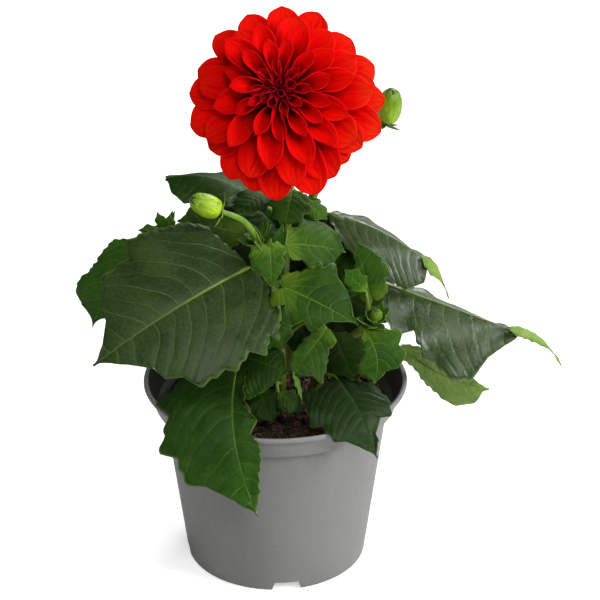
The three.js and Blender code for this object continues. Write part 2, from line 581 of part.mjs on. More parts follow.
// The large leaves, named for where they grow. Each gives the ends of its midrib, the way
// its upper face looks, its half width, how it bows, folds and cups, and its stalk's route.
const leaves = {
  leaf_front_left: {
    base: [-10.4, -25, 154.5], tip: [-76, -60, 125.5], up: [-0.12, -0.76, 0.64],
    bow: 6, width: 38, fold: [4, 4], cup: [-12, -24],
    left: [[0, 5], [3, 26], [9, 35], [11, 31], [18, 38], [23, 33], [33, 37], [36, 34], [50, 34],
      [53, 27], [60, 23], [61, 17], [69, 10], [81, 0.4]],
    right: [[1, 5], [4, 15], [6, 26], [12, 32], [20, 35], [28, 37], [39, 39], [42, 32], [58, 30],
      [59, 26], [65, 20], [66, 13], [72, 5], [81, 0.4]],
    stalk: [[-9.6, -8.5, 130], [-11, -17, 144]], stalkRadius: 1.6,
  },
  leaf_far_left: {
    base: [-60.5, 4, 153], tip: [-82, -4, 115], up: [-0.3, -0.85, 0.4],
    bow: 4, width: 17, fold: [-2, -6], cup: [-16, -26],
    left: [[0, 4], [5, 8], [9, 7], [15, 10], [21, 8], [27, 9], [35, 6], [43, 0.4]],
    right: [[1, 5], [5, 11], [12, 16], [16, 15], [23, 20], [27, 18], [34, 15], [43, 0.4]],
    stalk: [[-10.5, -6, 118], [-32, 2, 142]],
  },
  leaf_upper_left: {
    base: [-8, 9, 172], tip: [-49, 9, 181], up: [0.05, -0.2, 1],
    bow: 6, width: 18, teeth: 4, depth: 0.14, fold: [-6, -20], cup: [-15, -30],
    stalk: [[4.5, 10.5, 157], [0, 10, 166]],
  },
  leaf_low_front: {
    base: [-15, -27, 112.5], tip: [-9.5, -69, 63.5], up: [-0.12, -0.76, 0.64],
    bow: 11, sway: 4, width: 32, fold: [4, 4], cup: [-14, -18],
    left: [[2, 3], [12, 4], [24, 5], [36, 10], [41, 7], [47, 10], [55, 9], [59, 7], [68, 4],
      [77, 0.4]],
    right: [[8, 3], [11, 19], [24, 34], [29, 28], [43, 34], [46, 26], [57, 24], [59, 17], [67, 7],
      [77, 0.4]],
    stalk: [[-10, -3, 94], [-13, -14, 106]],
    leaflets: [
      { base: [-14, -26, 111.5], tip: [6, -36, 108.5], up: [0, -0.7, 0.7], bow: 2, width: 17,
        left: [[0, 3], [5, 8], [9, 7], [14, 9], [18, 7], [23, 0.4]],
        right: [[2, 6], [6, 17], [12, 17], [17, 12], [20, 6], [23, 0.4]],
        columns: 1, stalk: [[-13, -19, 109]], stalkRadius: 0.8 },
    ],
  },
  leaf_upper_right: {
    base: [25, 17, 162], tip: [80, 2, 130.5], up: [0.1, -0.2, 1],
    bow: 7, width: 18, fold: [-16, -36], cup: [-20, -30],
    left: [[0, 3], [9, 12], [13, 11], [25, 17], [29, 14], [38, 15], [42, 10], [48, 6], [51, 1.5],
      [65, 0.5]],
    right: [[0, 3], [7, 10], [14, 14], [19, 13], [25, 15], [34, 14], [42, 15], [49, 11], [53, 2],
      [65, 0.5]],
    stalk: [[16, 24.3, 152], [19, 21, 159]],
  },
  leaf_right: {
    base: [49, 11, 130], tip: [129, -6, 102], up: [0.05, -0.2, 1],
    bow: 3.5, width: 34, fold: [-22, -44], cup: [-20, -26],
    left: [[0, 4], [8, 12], [14, 18], [22, 27], [29, 24], [37, 29], [45, 26], [52, 20], [58, 12],
      [66, 8], [68, 1.5], [88, 0.5]],
    right: [[0, 5], [8, 18], [13, 22], [20, 17], [30, 28], [34, 27], [45, 31], [53, 28], [56, 16],
      [62, 6], [68, 1.5], [88, 0.5]],
    stalk: [[9, 26, 118], [28, 20, 127]], stalkRadius: 1.6,
  },
  leaf_right_low: {
    base: [56.5, 4, 101.5], tip: [98, 2, 80.5], up: [0.35, 0.9, 0],
    bow: 2, sway: -5, width: 14, fold: [6, 6], cup: [10, 10], columns: 1,
    left: [[0, 2], [8, 4], [16, 6], [24, 10], [32, 15], [38, 15], [43, 12], [48, 0.4]],
    right: [[0, 2], [8, 6], [16, 9], [24, 9], [32, 7], [38, 5], [43, 2], [48, 0.4]],
    stalk: [[23, -5, 97], [40, 1, 102]],
  },
  leaf_front_right: {
    base: [26, -24, 101.5], tip: [44, -57, 80], up: [0.17, -0.62, 0.76],
    bow: 7, width: 21, fold: [6, 0], cup: [-10, -20],
    left: [[4, 2], [12, 7], [16, 12], [24, 15], [33, 13], [32, 8], [36, 5], [38, 3], [42, 2],
      [48, 0.4]],
    right: [[4, 3], [7, 10], [7, 19], [14, 20], [25, 22], [26, 18], [36, 15], [37, 11], [41, 6],
      [48, 0.4]],
    stalk: [[17, -2.5, 84], [22, -14, 96]],
  },
  leaf_inner_left: {
    base: [0, 7, 131], tip: [-31, 9, 140], up: [0, -0.75, 0.65],
    bow: 3, width: 15, teeth: 3, depth: 0.2, fold: [0, -8], cup: [-10, -20], columns: 1,
    stalk: [[3, 8, 114], [1, 7.5, 125]],
  },
  leaf_inner_right: {
    base: [10, 14, 130], tip: [40, 8, 141], up: [0, -0.7, 0.7],
    bow: 2, width: 18, teeth: 3, depth: 0.2, fold: [0, -8], cup: [-10, -20], columns: 1,
    stalk: [[3, 8, 116], [6, 12, 124]],
  },
  leaf_inner_front: {
    base: [-7, -18, 133], tip: [4, -31, 118], up: [0, -0.75, 0.65],
    bow: 2, width: 12, teeth: 3, depth: 0.16, fold: [0, -8], cup: [-10, -20], columns: 1,
    stalk: [[-10.4, -5, 106], [-9.5, -12, 121]],
  },
  leaf_back_left: {
    base: [-24, 30, 128], tip: [-66, 58, 110], up: [-0.1, 0.25, 1],
    bow: 6, width: 24, teeth: 3, depth: 0.15, fold: [-4, -16], cup: [-20, -30],
    stalk: [[2, 6.5, 108], [-10, 18, 122]],
  },
  leaf_back: {
    base: [2, 46, 130], tip: [-10, 96, 104], up: [0, 0.35, 1],
    bow: 7, width: 27, teeth: 3, depth: 0.18, fold: [-2, -14], cup: [-20, -30],
    stalk: [[8, 26, 112], [5, 36, 124]],
  },
  leaf_back_right: {
    base: [18, 30, 102], tip: [56, 40, 122], up: [0.1, -0.7, 0.7],
    bow: 3, width: 22, teeth: 4, depth: 0.2, fold: [4, 0], cup: [-10, -20],
    stalk: [[6, 24, 90], [12, 30, 98]],
  },
  leaf_back_high: {
    base: [4, 18, 150], tip: [-24, 40, 168], up: [0.2, -0.6, 0.8],
    bow: 3, width: 21, teeth: 4, depth: 0.2, fold: [6, 0], cup: [-10, -20],
    stalk: [[4, 10, 136], [4, 14, 145]],
  },
};

for (const [name, leaf] of Object.entries(leaves)) {
  addPiece(name, largestBody(leafSolid(leaf).subtract(stemSpace)), "leaf");
}

// The bloom, built facing +Z and then turned to its axis: rings of petals on a small domed
// heart, from flat spreading ones outside to rolled upright ones inside.
const bloomFacing = new THREE.Matrix4();
{
  const axis = point(BLOOM_AXIS).normalize();
  const up = new THREE.Vector3(0, 0, 1).addScaledVector(axis, -axis.z).normalize();
  bloomFacing.makeBasis(up.clone().cross(axis), up, axis).setPosition(point(BLOOM_CENTRE));
}

const petalRings = [
  { angles: [95, 72, 47, 25, 4, -15, -40, -53, -68, -92, -107, -124, -147, -165, 176, 160, 137, 116],
    reaches: [40.5, 40, 38.5, 40, 42, 42, 34, 37.5, 40.5, 41, 39, 39.5, 37, 41, 41.5, 40, 40, 39],
    root: 7.5, height: 0.8, width: 9, lift: 3, bow: 1.5, cup: [22, 12], roll: 14 },
  { angles: [112, 84, 60, 40, 16, -12, -38, -65, -96, -134, -170, 154],
    root: 6.5, height: 3.2, reach: 31.5, width: 8.2, lift: 27, bow: 1.5, cup: [40, 26], roll: 17 },
  { angles: [134, 98, 70, 40, 14, -16, -52, -88, -121, -157, 170],
    root: 5, height: 5.4, reach: 20.5, width: 5.6, lift: 47, bow: 1.5, cup: [60, 50], roll: 20 },
  { angles: [112, 62, 0, -36, -82, -140, 176],
    root: 3.6, height: 7.4, reach: 11.8, width: 3.4, lift: 62, bow: 1, cup: [90, 80], roll: 20 },
  { angles: [90, 20, -60, -130, 160],
    root: 2, height: 8.8, reach: 6, width: 2.4, lift: 73, bow: 0.6, cup: [90, 80], roll: 20 },
];

function petalSolid(ring, index, draw) {
  const turn = degrees(ring.angles[index]);
  const heading = new THREE.Vector3(Math.cos(turn), Math.sin(turn), 0);
  const lift = degrees(ring.lift + 2 * draw());
  const reach = ring.reaches ? ring.reaches[index] : ring.reach * (1 + 0.04 * draw());
  const length = (reach - ring.root) / Math.cos(lift);
  const base = heading.clone().multiplyScalar(ring.root).setZ(ring.height);
  const way = heading.clone().multiplyScalar(Math.cos(lift)).setZ(Math.sin(lift));
  const up = heading.clone().multiplyScalar(-Math.sin(lift)).setZ(Math.cos(lift));
  up.applyAxisAngle(way, degrees(ring.roll));
  const outline = petalOutline(length, ring.width);
  return blade(
    leafRows(
      {
        base: base.toArray(), tip: base.clone().addScaledVector(way, length).toArray(),
        up: up.toArray(), bow: ring.bow, width: ring.width, fold: [0, 0], cup: ring.cup,
        left: outline, right: outline,
      },
      1,
    ),
    PETAL_THICKNESS,
    0,
  );
}

function bloomSolid() {
  const draw = makeDraw(41);
  const heart = turned(
    [[0, 0], [BLOOM_HEART, 0], [BLOOM_HEART, 3], [BLOOM_HEART * 0.7, 7.5], [0, 10]], 10);
  const petals = petalRings.flatMap((ring) =>
    ring.angles.map((_, index) => petalSolid(ring, index, draw)),
  );
  return joined([heart, ...petals]);
}

const placedBloom = (solid) => solid.transform(bloomFacing.toArray());
addPiece("bloom_petals", placedBloom(bloomSolid()), "petal");

// Under the petals sits the green cup, with a ring of bracts that bend back.
function calyxSolid() {
  const cup = turned([[0, -0.4], [8.4, -0.4], [8.6, -2], [6.4, -6], [3, -9.4], [2.4, -11],
    [0, -11]], 10);
  const bracts = [];
  for (let k = 0; k < 6; k++) {
    const turn = degrees(60 * k + 20);
    const heading = new THREE.Vector3(Math.cos(turn), Math.sin(turn), 0);
    const outline = [[0, 2], [6, 2.8], [13, 0.3]];
    bracts.push(
      leafSolid({
        base: heading.clone().multiplyScalar(5.6).setZ(-6).toArray(),
        tip: heading.clone().multiplyScalar(17).setZ(-11).toArray(),
        up: [0, 0, 1], bow: 1.5, width: 2.8, left: outline, right: outline, fold: [0, 0],
        cup: [10, 10], columns: 1,
      }),
    );
  }
  return joined([cup, ...bracts]);
}

addPiece("bloom_calyx", placedBloom(calyxSolid()), "stem");

// A bud: an egg of overlapping bracts, whose lower rows stand proud of the rows above.
const buds = {
  bud_left: { base: [-22.8, -27, 181.5], axis: [-12.2, -3, 6.8], length: 13.8, radius: 4.9 },
  bud_back: { base: [49.3, 20.1, 204.2], axis: [0.16, -0.05, 1], length: 15, radius: 5 },
  bud_right: { base: [44.1, -18.8, 125.9], axis: [0.1, -0.5, 0.9], length: 7, radius: 2.9 },
};

function budSolid(bud) {
  const rows = [[0, 0], [0.5, 0], [0.82, 0.1], [1, 0.34], [0.93, 0.36], [0.97, 0.56], [0.84, 0.62],
    [0.72, 0.84], [0.35, 0.97], [0, 1]];
  const profile = rows.map(([r, z]) => [r * bud.radius, z * bud.length]);
  const axis = point(bud.axis).normalize();
  const facing = new THREE.Matrix4().makeRotationFromQuaternion(
    new THREE.Quaternion().setFromUnitVectors(new THREE.Vector3(0, 0, 1), axis),
  );
  facing.setPosition(point(bud.base).addScaledVector(axis, CLEARANCE));
  return turned(profile, 10).transform(facing.toArray());
}

for (const [name, bud] of Object.entries(buds)) {
  addPiece(name, budSolid(bud), "bud");
}

export default root;
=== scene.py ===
import math

import bmesh
import bpy
import numpy as np
from mathutils import Matrix, Vector, noise


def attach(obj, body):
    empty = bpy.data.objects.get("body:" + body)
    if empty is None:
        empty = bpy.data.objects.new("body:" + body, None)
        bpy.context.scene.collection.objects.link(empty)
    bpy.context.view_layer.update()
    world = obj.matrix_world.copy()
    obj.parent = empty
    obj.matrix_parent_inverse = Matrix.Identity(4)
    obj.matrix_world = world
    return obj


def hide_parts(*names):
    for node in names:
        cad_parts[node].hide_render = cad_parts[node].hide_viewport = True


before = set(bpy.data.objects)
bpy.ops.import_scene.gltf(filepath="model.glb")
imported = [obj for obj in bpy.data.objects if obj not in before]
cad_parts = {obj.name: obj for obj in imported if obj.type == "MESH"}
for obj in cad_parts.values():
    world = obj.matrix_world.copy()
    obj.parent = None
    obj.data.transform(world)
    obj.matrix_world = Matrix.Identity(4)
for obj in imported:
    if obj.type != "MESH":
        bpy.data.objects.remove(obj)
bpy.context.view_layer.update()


# The pot is one injection moulding of grey polypropylene: a thin tapered wall, a stepped
# collar under a rounded lip, a raised floor with drain holes and a low foot ring that four
# notches cut through. It stands on the foot ring and on a pad in the middle of the floor.
MM = 0.001
POT_HEIGHT = 89.0
FOOT_RADIUS = 41.6
WALL_TOP_RADIUS = 51.4
RIM_RADIUS = 60.0
COLLAR_BOTTOM = 76.5
COLLAR_RADIUS = 54.8
LIP_BOTTOM = 86.8
LIP_GROOVE = 0.7
WALL = 1.2
FLOOR_LIFT = 4.6
FOOT_RING_WIDTHS = (2.4, 1.8)
LIP_WIDTH = 2.2
PAD_RADIUS = 14.0
PAD_SLOPE = 4.0
POT_SIDES = 192
NOTCH_COUNT = 4
NOTCH_FIRST_DEGREES = -83.0
NOTCH_OUTLINE = [(-7.0, -1.0), (7.0, -1.0), (5.4, 4.2), (-5.4, 4.2)]
DRAIN_COUNT = 6
DRAIN_RADIUS = 3.2
DRAIN_RING = 28.0
DRAIN_CUT = (2.0, 8.0)
SHARP_DEGREES = 35
POT_GREY = (0.174, 0.177, 0.17, 1.0)
POT_GREY_DARK = (0.157, 0.159, 0.153, 1.0)
POT_DIRT = (0.06, 0.045, 0.03, 1.0)
# Near-black of the painted shade inside the pot.
POT_INSIDE_SHADE = (0.014, 0.012, 0.01, 1.0)


def new_shape():
    return {"points": [], "faces": [], "finishes": [], "blade": [], "edge": []}


# Adds points and faces to a shape, with one finish for all the faces or one for each. The two
# maps give each point its place on a leaf or petal.
def add_mesh(shape, points, faces, finish=0, blade=None, edge=None):
    first = sum(len(part) for part in shape["points"])
    points = np.asarray(points, float)
    shape["points"].append(points)
    shape["faces"].extend([[first + k for k in face] for face in faces])
    shape["finishes"].extend(np.broadcast_to(finish, len(faces)).tolist())
    flat = np.zeros((len(points), 2))
    shape["blade"].append(flat if blade is None else blade)
    shape["edge"].append(flat if edge is None else edge)


# Makes a smooth mesh object of a shape given in millimetres, which replaces its CAD node.
def make_piece(name, shape, materials, node):
    mesh = bpy.data.meshes.new(name)
    points = np.concatenate(shape["points"]) * MM
    mesh.from_pydata(points.tolist(), [], shape["faces"])
    for material in materials:
        mesh.materials.append(material)
    mesh.polygons.foreach_set("material_index", shape["finishes"])
    corners = np.empty(len(mesh.loops), int)
    mesh.loops.foreach_get("vertex_index", corners)
    for layer in ("blade", "edge"):
        places = np.concatenate(shape[layer])[corners]
        mesh.uv_layers.new(name=layer).data.foreach_set("uv", places.ravel())
    mesh.shade_smooth()
    mesh.update()
    piece = bpy.data.objects.new(name, mesh)
    bpy.context.collection.objects.link(piece)
    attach(piece, "root")
    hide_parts(node)
    return piece


# Adds a shader node. Inputs are set by name or number, to a value or to another node's output.
def add_node(tree, kind, inputs=None, **settings):
    made = tree.nodes.new("ShaderNode" + kind)
    for key, value in settings.items():
        setattr(made, key, value)
    for key, value in (inputs or {}).items():
        if isinstance(value, bpy.types.NodeSocket):
            tree.links.new(value, made.inputs[key])
        else:
            made.inputs[key].default_value = value
    return made


def calculate(tree, operation, *values):
    made = add_node(tree, "Math", dict(enumerate(values)), operation=operation)
    return made.outputs[0]


def times(tree, first, second):
    return calculate(tree, "MULTIPLY", first, second)


def plus(tree, first, second):
    return calculate(tree, "ADD", first, second)


def minus(tree, first, second):
    return calculate(tree, "SUBTRACT", first, second)


def step_between(tree, value, low, high, start=0.0, end=1.0):
    inputs = {"Value": value, "From Min": low, "From Max": high, "To Min": start, "To Max": end}
    made = add_node(tree, "MapRange", inputs, interpolation_type="SMOOTHSTEP")
    return made.outputs["Result"]


def mix_colours(tree, factor, first, second):
    made = add_node(tree, "Mix", {0: factor, 6: first, 7: second}, data_type="RGBA")
    return made.outputs[2]


def noise_at(tree, place, scale, detail=3.0):
    inputs = {"Vector": place, "Scale": scale, "Detail": detail}
    return add_node(tree, "TexNoise", inputs).outputs["Fac"]


# A surface's own place in metres, the same place with one direction stretched, and its parts.
def object_place(tree):
    return add_node(tree, "TexCoord").outputs["Object"]


def stretched(tree, place, scale):
    return add_node(tree, "Mapping", {"Vector": place, "Scale": scale}).outputs[0]


def split(tree, place):
    return add_node(tree, "SeparateXYZ", {0: place}).outputs


# Scattered cells: the distance from the middle of each, and a random value for each.
def scattered(tree, place, scale):
    cells = add_node(tree, "TexVoronoi", {"Vector": place, "Scale": scale}, feature="F1")
    value = add_node(tree, "SeparateColor", {0: cells.outputs["Color"]}).outputs[0]
    return cells.outputs["Distance"], value


# Starts a group of nodes with named sockets, and returns it with its two end nodes.
def new_group(name, inputs, outputs):
    group = bpy.data.node_groups.new(name, "ShaderNodeTree")
    for socket, kind, value in inputs:
        made = group.interface.new_socket(socket, in_out="INPUT", socket_type="NodeSocket" + kind)
        if value is not None:
            made.default_value = value
    for socket, kind in outputs:
        group.interface.new_socket(socket, in_out="OUTPUT", socket_type="NodeSocket" + kind)
    return group, group.nodes.new("NodeGroupInput"), group.nodes.new("NodeGroupOutput")


# Mottle: two sizes of noise in one mask, for any surface that isn't quite even.
mottle_group, group_in, group_out = new_group(
    "mottle",
    [("Place", "Vector", None), ("Coarse", "Float", 60.0), ("Fine", "Float", 900.0),
     ("Fine Share", "Float", 0.4)],
    [("Mask", "Float")],
)
given = group_in.outputs
coarse = noise_at(mottle_group, given["Place"], given["Coarse"], detail=4.0)
fine = noise_at(mottle_group, given["Place"], given["Fine"])
blend = add_node(mottle_group, "Mix", {0: given["Fine Share"], 2: coarse, 3: fine},
                 data_type="FLOAT")
mottle_group.links.new(blend.outputs[0], group_out.inputs["Mask"])


def mottle(tree, place, coarse, fine, fine_share):
    inputs = {"Place": place, "Coarse": coarse, "Fine": fine, "Fine Share": fine_share}
    return add_node(tree, "Group", inputs, node_tree=mottle_group).outputs["Mask"]


# Starts a material and returns it with its tree and its Principled shader.
def new_material(name):
    material = bpy.data.materials.new(name)
    material.use_nodes = True
    shader = material.node_tree.nodes["Principled BSDF"]
    return material, material.node_tree, shader


def bump_into(tree, shader, height, distance):
    bump = add_node(tree, "Bump", {"Height": height, "Distance": distance})
    tree.links.new(bump.outputs["Normal"], shader.inputs["Normal"])


# The plastic is a matte grey with faint clouds and drawn streaks and a few specks of dirt.
# Inside the pot, painted shade darkens the wall nearly to black in cloudy patches; its share
# grows with "inside_shade".
def plastic_material(name, inside_shade):
    material, tree, shader = new_material(name)
    place = object_place(tree)
    clouds = mottle(tree, place, coarse=22.0, fine=260.0, fine_share=0.35)
    drawn = noise_at(tree, stretched(tree, place, (1.0, 1.0, 0.06)), scale=420.0, detail=2.0)
    tone = plus(tree, times(tree, clouds, 0.7), times(tree, drawn, 0.3))
    grey = mix_colours(tree, step_between(tree, tone, 0.36, 0.64), POT_GREY_DARK, POT_GREY)
    from_speck, rarity = scattered(tree, place, 130.0)
    specks = times(tree, step_between(tree, from_speck, 0.035, 0.075, 1.0, 0.0),
                   step_between(tree, rarity, 0.9, 0.94))
    grey = mix_colours(tree, times(tree, specks, 0.7), grey, POT_DIRT)
    # Painted shade inside the pot: the wall darkens towards near-black in cloudy patches.
    inside_shade_share = times(tree, step_between(tree, clouds, 0.1, 0.35), inside_shade)
    tree.links.new(mix_colours(tree, inside_shade_share, grey, POT_INSIDE_SHADE), shader.inputs["Base Color"])
    tree.links.new(step_between(tree, clouds, 0.3, 0.7, 0.48, 0.6), shader.inputs["Roughness"])
    bump_into(tree, shader, noise_at(tree, place, scale=1500.0, detail=2.0), 0.00006)
    return material


pot_plastic = plastic_material("pot_plastic", 0.0)
pot_inside = plastic_material("pot_inside", 1.0)


# A solid of revolution about the Z axis; a point on the axis becomes one vertex.
def turned(profile, sides):
    points = []
    rings = []
    for radius, height in profile:
        if radius < 1e-6:
            rings.append([len(points)] * sides)
            points.append((0.0, 0.0, height))
            continue
        rings.append(list(range(len(points), len(points) + sides)))
        for k in range(sides):
            turn = 2 * math.pi * k / sides
            points.append((radius * math.cos(turn), radius * math.sin(turn), height))
    faces = []
    for lower, upper in zip(rings, rings[1:]):
        for k in range(sides):
            n = (k + 1) % sides
            corners = [lower[k], lower[n], upper[n], upper[k]]
            faces.append(list(dict.fromkeys(corners)))
    return points, [face for face in faces if len(face) > 2]


ROUNDING_STEPS = 4
ROUNDING_REACH = 0.5


# Rounds the inner corners of a profile; a corner may give the reach of its own rounding.
def rounded(profile):
    result = [profile[0][:2]]
    for before, corner, after in zip(profile, profile[1:], profile[2:]):
        place = np.array(corner[:2])
        to_before = np.array(before[:2]) - place
        to_after = np.array(after[:2]) - place
        reach = corner[2] if len(corner) > 2 else ROUNDING_REACH
        start = place + to_before * min(0.45, reach / np.linalg.norm(to_before))
        end = place + to_after * min(0.45, reach / np.linalg.norm(to_after))
        for k in range(ROUNDING_STEPS + 1):
            t = k / ROUNDING_STEPS
            spot = (1 - t) ** 2 * start + 2 * t * (1 - t) * place + t * t * end
            result.append(tuple(spot))
    result.append(profile[-1][:2])
    return result


def outer_wall(height):
    return FOOT_RADIUS + (WALL_TOP_RADIUS - FOOT_RADIUS) * height / COLLAR_BOTTOM


FLOOR_TOP = FLOOR_LIFT + WALL
pot_profile = rounded([
    (0.0, 0.0),
    (PAD_RADIUS, 0.0, 0.6),
    (PAD_RADIUS + PAD_SLOPE, FLOOR_LIFT, 1.0),
    (FOOT_RADIUS - FOOT_RING_WIDTHS[0], FLOOR_LIFT, 0.6),
    (FOOT_RADIUS - FOOT_RING_WIDTHS[1], 0.0, 0.4),
    (FOOT_RADIUS, 0.0, 0.6),
    (WALL_TOP_RADIUS, COLLAR_BOTTOM, 0.5),
    (COLLAR_RADIUS, COLLAR_BOTTOM + 0.3, 1.3),
    (RIM_RADIUS - 1 - LIP_GROOVE, LIP_BOTTOM - 0.5, 0.4),
    (RIM_RADIUS, LIP_BOTTOM, 0.5),
    (RIM_RADIUS, POT_HEIGHT - 0.7, 0.6),
    (RIM_RADIUS - 0.8, POT_HEIGHT, 0.8),
    (RIM_RADIUS - LIP_WIDTH, POT_HEIGHT - 0.7, 0.8),
    (COLLAR_RADIUS - WALL, COLLAR_BOTTOM + 1.5, 0.8),
    (outer_wall(COLLAR_BOTTOM - 1) - WALL, COLLAR_BOTTOM - 1, 0.8),
    (outer_wall(FLOOR_TOP) - WALL, FLOOR_TOP, 0.8),
    (PAD_RADIUS + 3.2, FLOOR_TOP, 0.8),
    (PAD_RADIUS - 0.8, WALL, 0.8),
    (0.0, WALL),
])
pot_shape = new_shape()
points, faces = turned(pot_profile, POT_SIDES)
lip_edge = RIM_RADIUS - LIP_WIDTH
lip_index = max(k for k, (radius, _) in enumerate(pot_profile) if radius > lip_edge)
outer_faces = len(faces) - (len(pot_profile) - 1 - lip_index) * POT_SIDES
is_inside = np.arange(len(faces)) >= outer_faces
add_mesh(pot_shape, points, faces, is_inside.astype(int))
pot = make_piece("pot_moulded", pot_shape, [pot_plastic, pot_inside], "pot")


# Cuts a shape away from a piece with an exact boolean, and keeps the cut mesh.
def cut_away(piece, shape):
    mesh = bpy.data.meshes.new("cutter")
    points = np.concatenate(shape["points"]) * MM
    mesh.from_pydata(points.tolist(), [], shape["faces"])
    cutter = bpy.data.objects.new("cutter", mesh)
    bpy.context.collection.objects.link(cutter)
    modifier = piece.modifiers.new("cut", "BOOLEAN")
    modifier.object = cutter
    modifier.operation = "DIFFERENCE"
    modifier.solver = "EXACT"
    bpy.context.view_layer.update()
    seen = piece.evaluated_get(bpy.context.evaluated_depsgraph_get())
    old = piece.data
    piece.data = bpy.data.meshes.new_from_object(seen)
    piece.modifiers.clear()
    bpy.data.meshes.remove(old)
    bpy.data.objects.remove(cutter)
    bpy.data.meshes.remove(mesh)


holes = new_shape()
for k in range(NOTCH_COUNT):
    turn = math.radians(NOTCH_FIRST_DEGREES + 360 * k / NOTCH_COUNT)
    outward = Vector((math.cos(turn), math.sin(turn), 0))
    along = Vector((-math.sin(turn), math.cos(turn), 0))
    block = []
    for radius in (FOOT_RADIUS - 3, FOOT_RADIUS + 4):
        for aside, height in NOTCH_OUTLINE:
            corner = outward * radius + along * aside
            block.append((corner.x, corner.y, height))
    add_mesh(holes, block, [[3, 2, 1, 0], [4, 5, 6, 7], [0, 1, 5, 4], [1, 2, 6, 5], [2, 3, 7, 6],
                            [3, 0, 4, 7]])
low, high = DRAIN_CUT
for k in range(DRAIN_COUNT):
    turn = 2 * math.pi * (k + 0.5) / DRAIN_COUNT
    drill, faces = turned([(0, low), (DRAIN_RADIUS, low), (DRAIN_RADIUS, high), (0, high)], 32)
    centre = DRAIN_RING * np.array([math.cos(turn), math.sin(turn), 0])
    add_mesh(holes, np.array(drill) + centre, faces)
cut_away(pot, holes)
pot.data.shade_smooth()
pot.data.set_sharp_from_angle(angle=math.radians(SHARP_DEGREES))


# The soil is dark, crumbly potting peat that fills the pot to a finger's breadth under the
# rim. Its top is a lumpy sheet with loose crumbs and short fibres lying on it.
SOIL_LEVEL = 79.0
SOIL_BOTTOM = 6.1
SOIL_RINGS = 46
SOIL_SIDES = 144
SOIL_GAP = 0.6
SOIL_CLODS = {"layer": 3.0, "scale": 0.07, "height": 1.5}
SOIL_GRAINS = {"layer": 9.0, "scale": 0.42, "height": 0.8}
SOIL_EDGE_DIP = 2.2
CRUMB_COUNT = 620
CRUMB_SIZES = (0.5, 1.9)
CRUMB_UNEVEN = 0.3
CRUMB_FLATNESS = 0.75
CRUMB_LIFT = 0.3
FIBRE_COUNT = 46
FIBRE_LENGTHS = (3.5, 2.5)
FIBRE_LIFTS = (0.5, 0.3)
FIBRE_RADII = (0.22, 0.2, 0.12)
PEAT_DARK = (0.006, 0.0045, 0.003, 1.0)
PEAT_BROWN = (0.045, 0.024, 0.014, 1.0)
PEAT_BITS = (0.11, 0.05, 0.028, 1.0)

soil_peat, tree, shader = new_material("soil_peat")
place = object_place(tree)
clods = mottle(tree, place, coarse=190.0, fine=1300.0, fine_share=0.45)
from_bit, bit_tone = scattered(tree, place, 620.0)
peat = mix_colours(tree, step_between(tree, clods, 0.38, 0.62), PEAT_DARK, PEAT_BROWN)
peat = mix_colours(tree, step_between(tree, bit_tone, 0.72, 0.95), peat, PEAT_BITS)
tree.links.new(peat, shader.inputs["Base Color"])
shader.inputs["Roughness"].default_value = 0.95
shader.inputs["Specular IOR Level"].default_value = 0.25
bump_into(tree, shader, plus(tree, clods, from_bit), 0.0008)

soil_wall = outer_wall(SOIL_LEVEL - 4)


def lumps(x, y, layer, scale, height):
    return noise.fractal(Vector((x, y, layer)) * scale, 1.0, 2.0, 3) * height


# Height of the lumpy top: clods and grains over its level, lower against the wall.
def soil_height(x, y):
    edge = math.hypot(x, y) / soil_wall
    lumpy = SOIL_LEVEL + lumps(x, y, **SOIL_CLODS) + lumps(x, y, **SOIL_GRAINS)
    return lumpy - SOIL_EDGE_DIP * edge ** 6


soil_shape = new_shape()
soil_edge = soil_wall - WALL - SOIL_GAP
soil_foot = outer_wall(SOIL_BOTTOM) - WALL - SOIL_GAP
soil_profile = [(0.0, SOIL_BOTTOM), (soil_foot, SOIL_BOTTOM)]
soil_profile += [(soil_edge * (1 - k / SOIL_RINGS) ** 0.8, SOIL_LEVEL) for k in range(SOIL_RINGS)]
soil_profile.append((0.0, SOIL_LEVEL))
points, faces = turned(soil_profile, SOIL_SIDES)
points = [(x, y, soil_height(x, y) if z > SOIL_BOTTOM else z) for x, y, z in points]
add_mesh(soil_shape, points, faces)


# A repeatable random draw between -1 and 1, the same as in the CAD source.
def make_draw(seed):
    state = seed
    while True:
        state = (state * 1664525 + 1013904223) % 4294967296
        yield state / 4294967296 * 2 - 1


# A crumb is a flattened lump with twenty sides, pulled out of true by its own draws.
draw = make_draw(61)
crumb = bmesh.new()
bmesh.ops.create_icosphere(crumb, subdivisions=1, radius=1.0)
crumb_points = [v.co.copy() for v in crumb.verts]
crumb_faces = [[v.index for v in face.verts] for face in crumb.faces]
crumb.free()
for _ in range(CRUMB_COUNT):
    radius = (soil_edge - 2) * math.sqrt(abs(next(draw)))
    turn = math.pi * next(draw)
    x = radius * math.cos(turn)
    y = radius * math.sin(turn)
    size = CRUMB_SIZES[0] + (CRUMB_SIZES[1] - CRUMB_SIZES[0]) * abs(next(draw)) ** 3
    spin = Matrix.Rotation(math.pi * next(draw), 3, Vector((next(draw), next(draw), 0.3)))
    lump = []
    for corner in crumb_points:
        pulled = corner * (1 + CRUMB_UNEVEN * next(draw))
        pulled.z *= CRUMB_FLATNESS
        turned_corner = spin @ pulled * size
        lump.append((x + turned_corner.x, y + turned_corner.y,
                     soil_height(x, y) + CRUMB_LIFT * size + turned_corner.z))
    add_mesh(soil_shape, lump, crumb_faces)


# Unit vectors of an array of vectors.
def unit(vectors):
    return vectors / np.maximum(np.linalg.norm(vectors, axis=-1, keepdims=True), 1e-9)


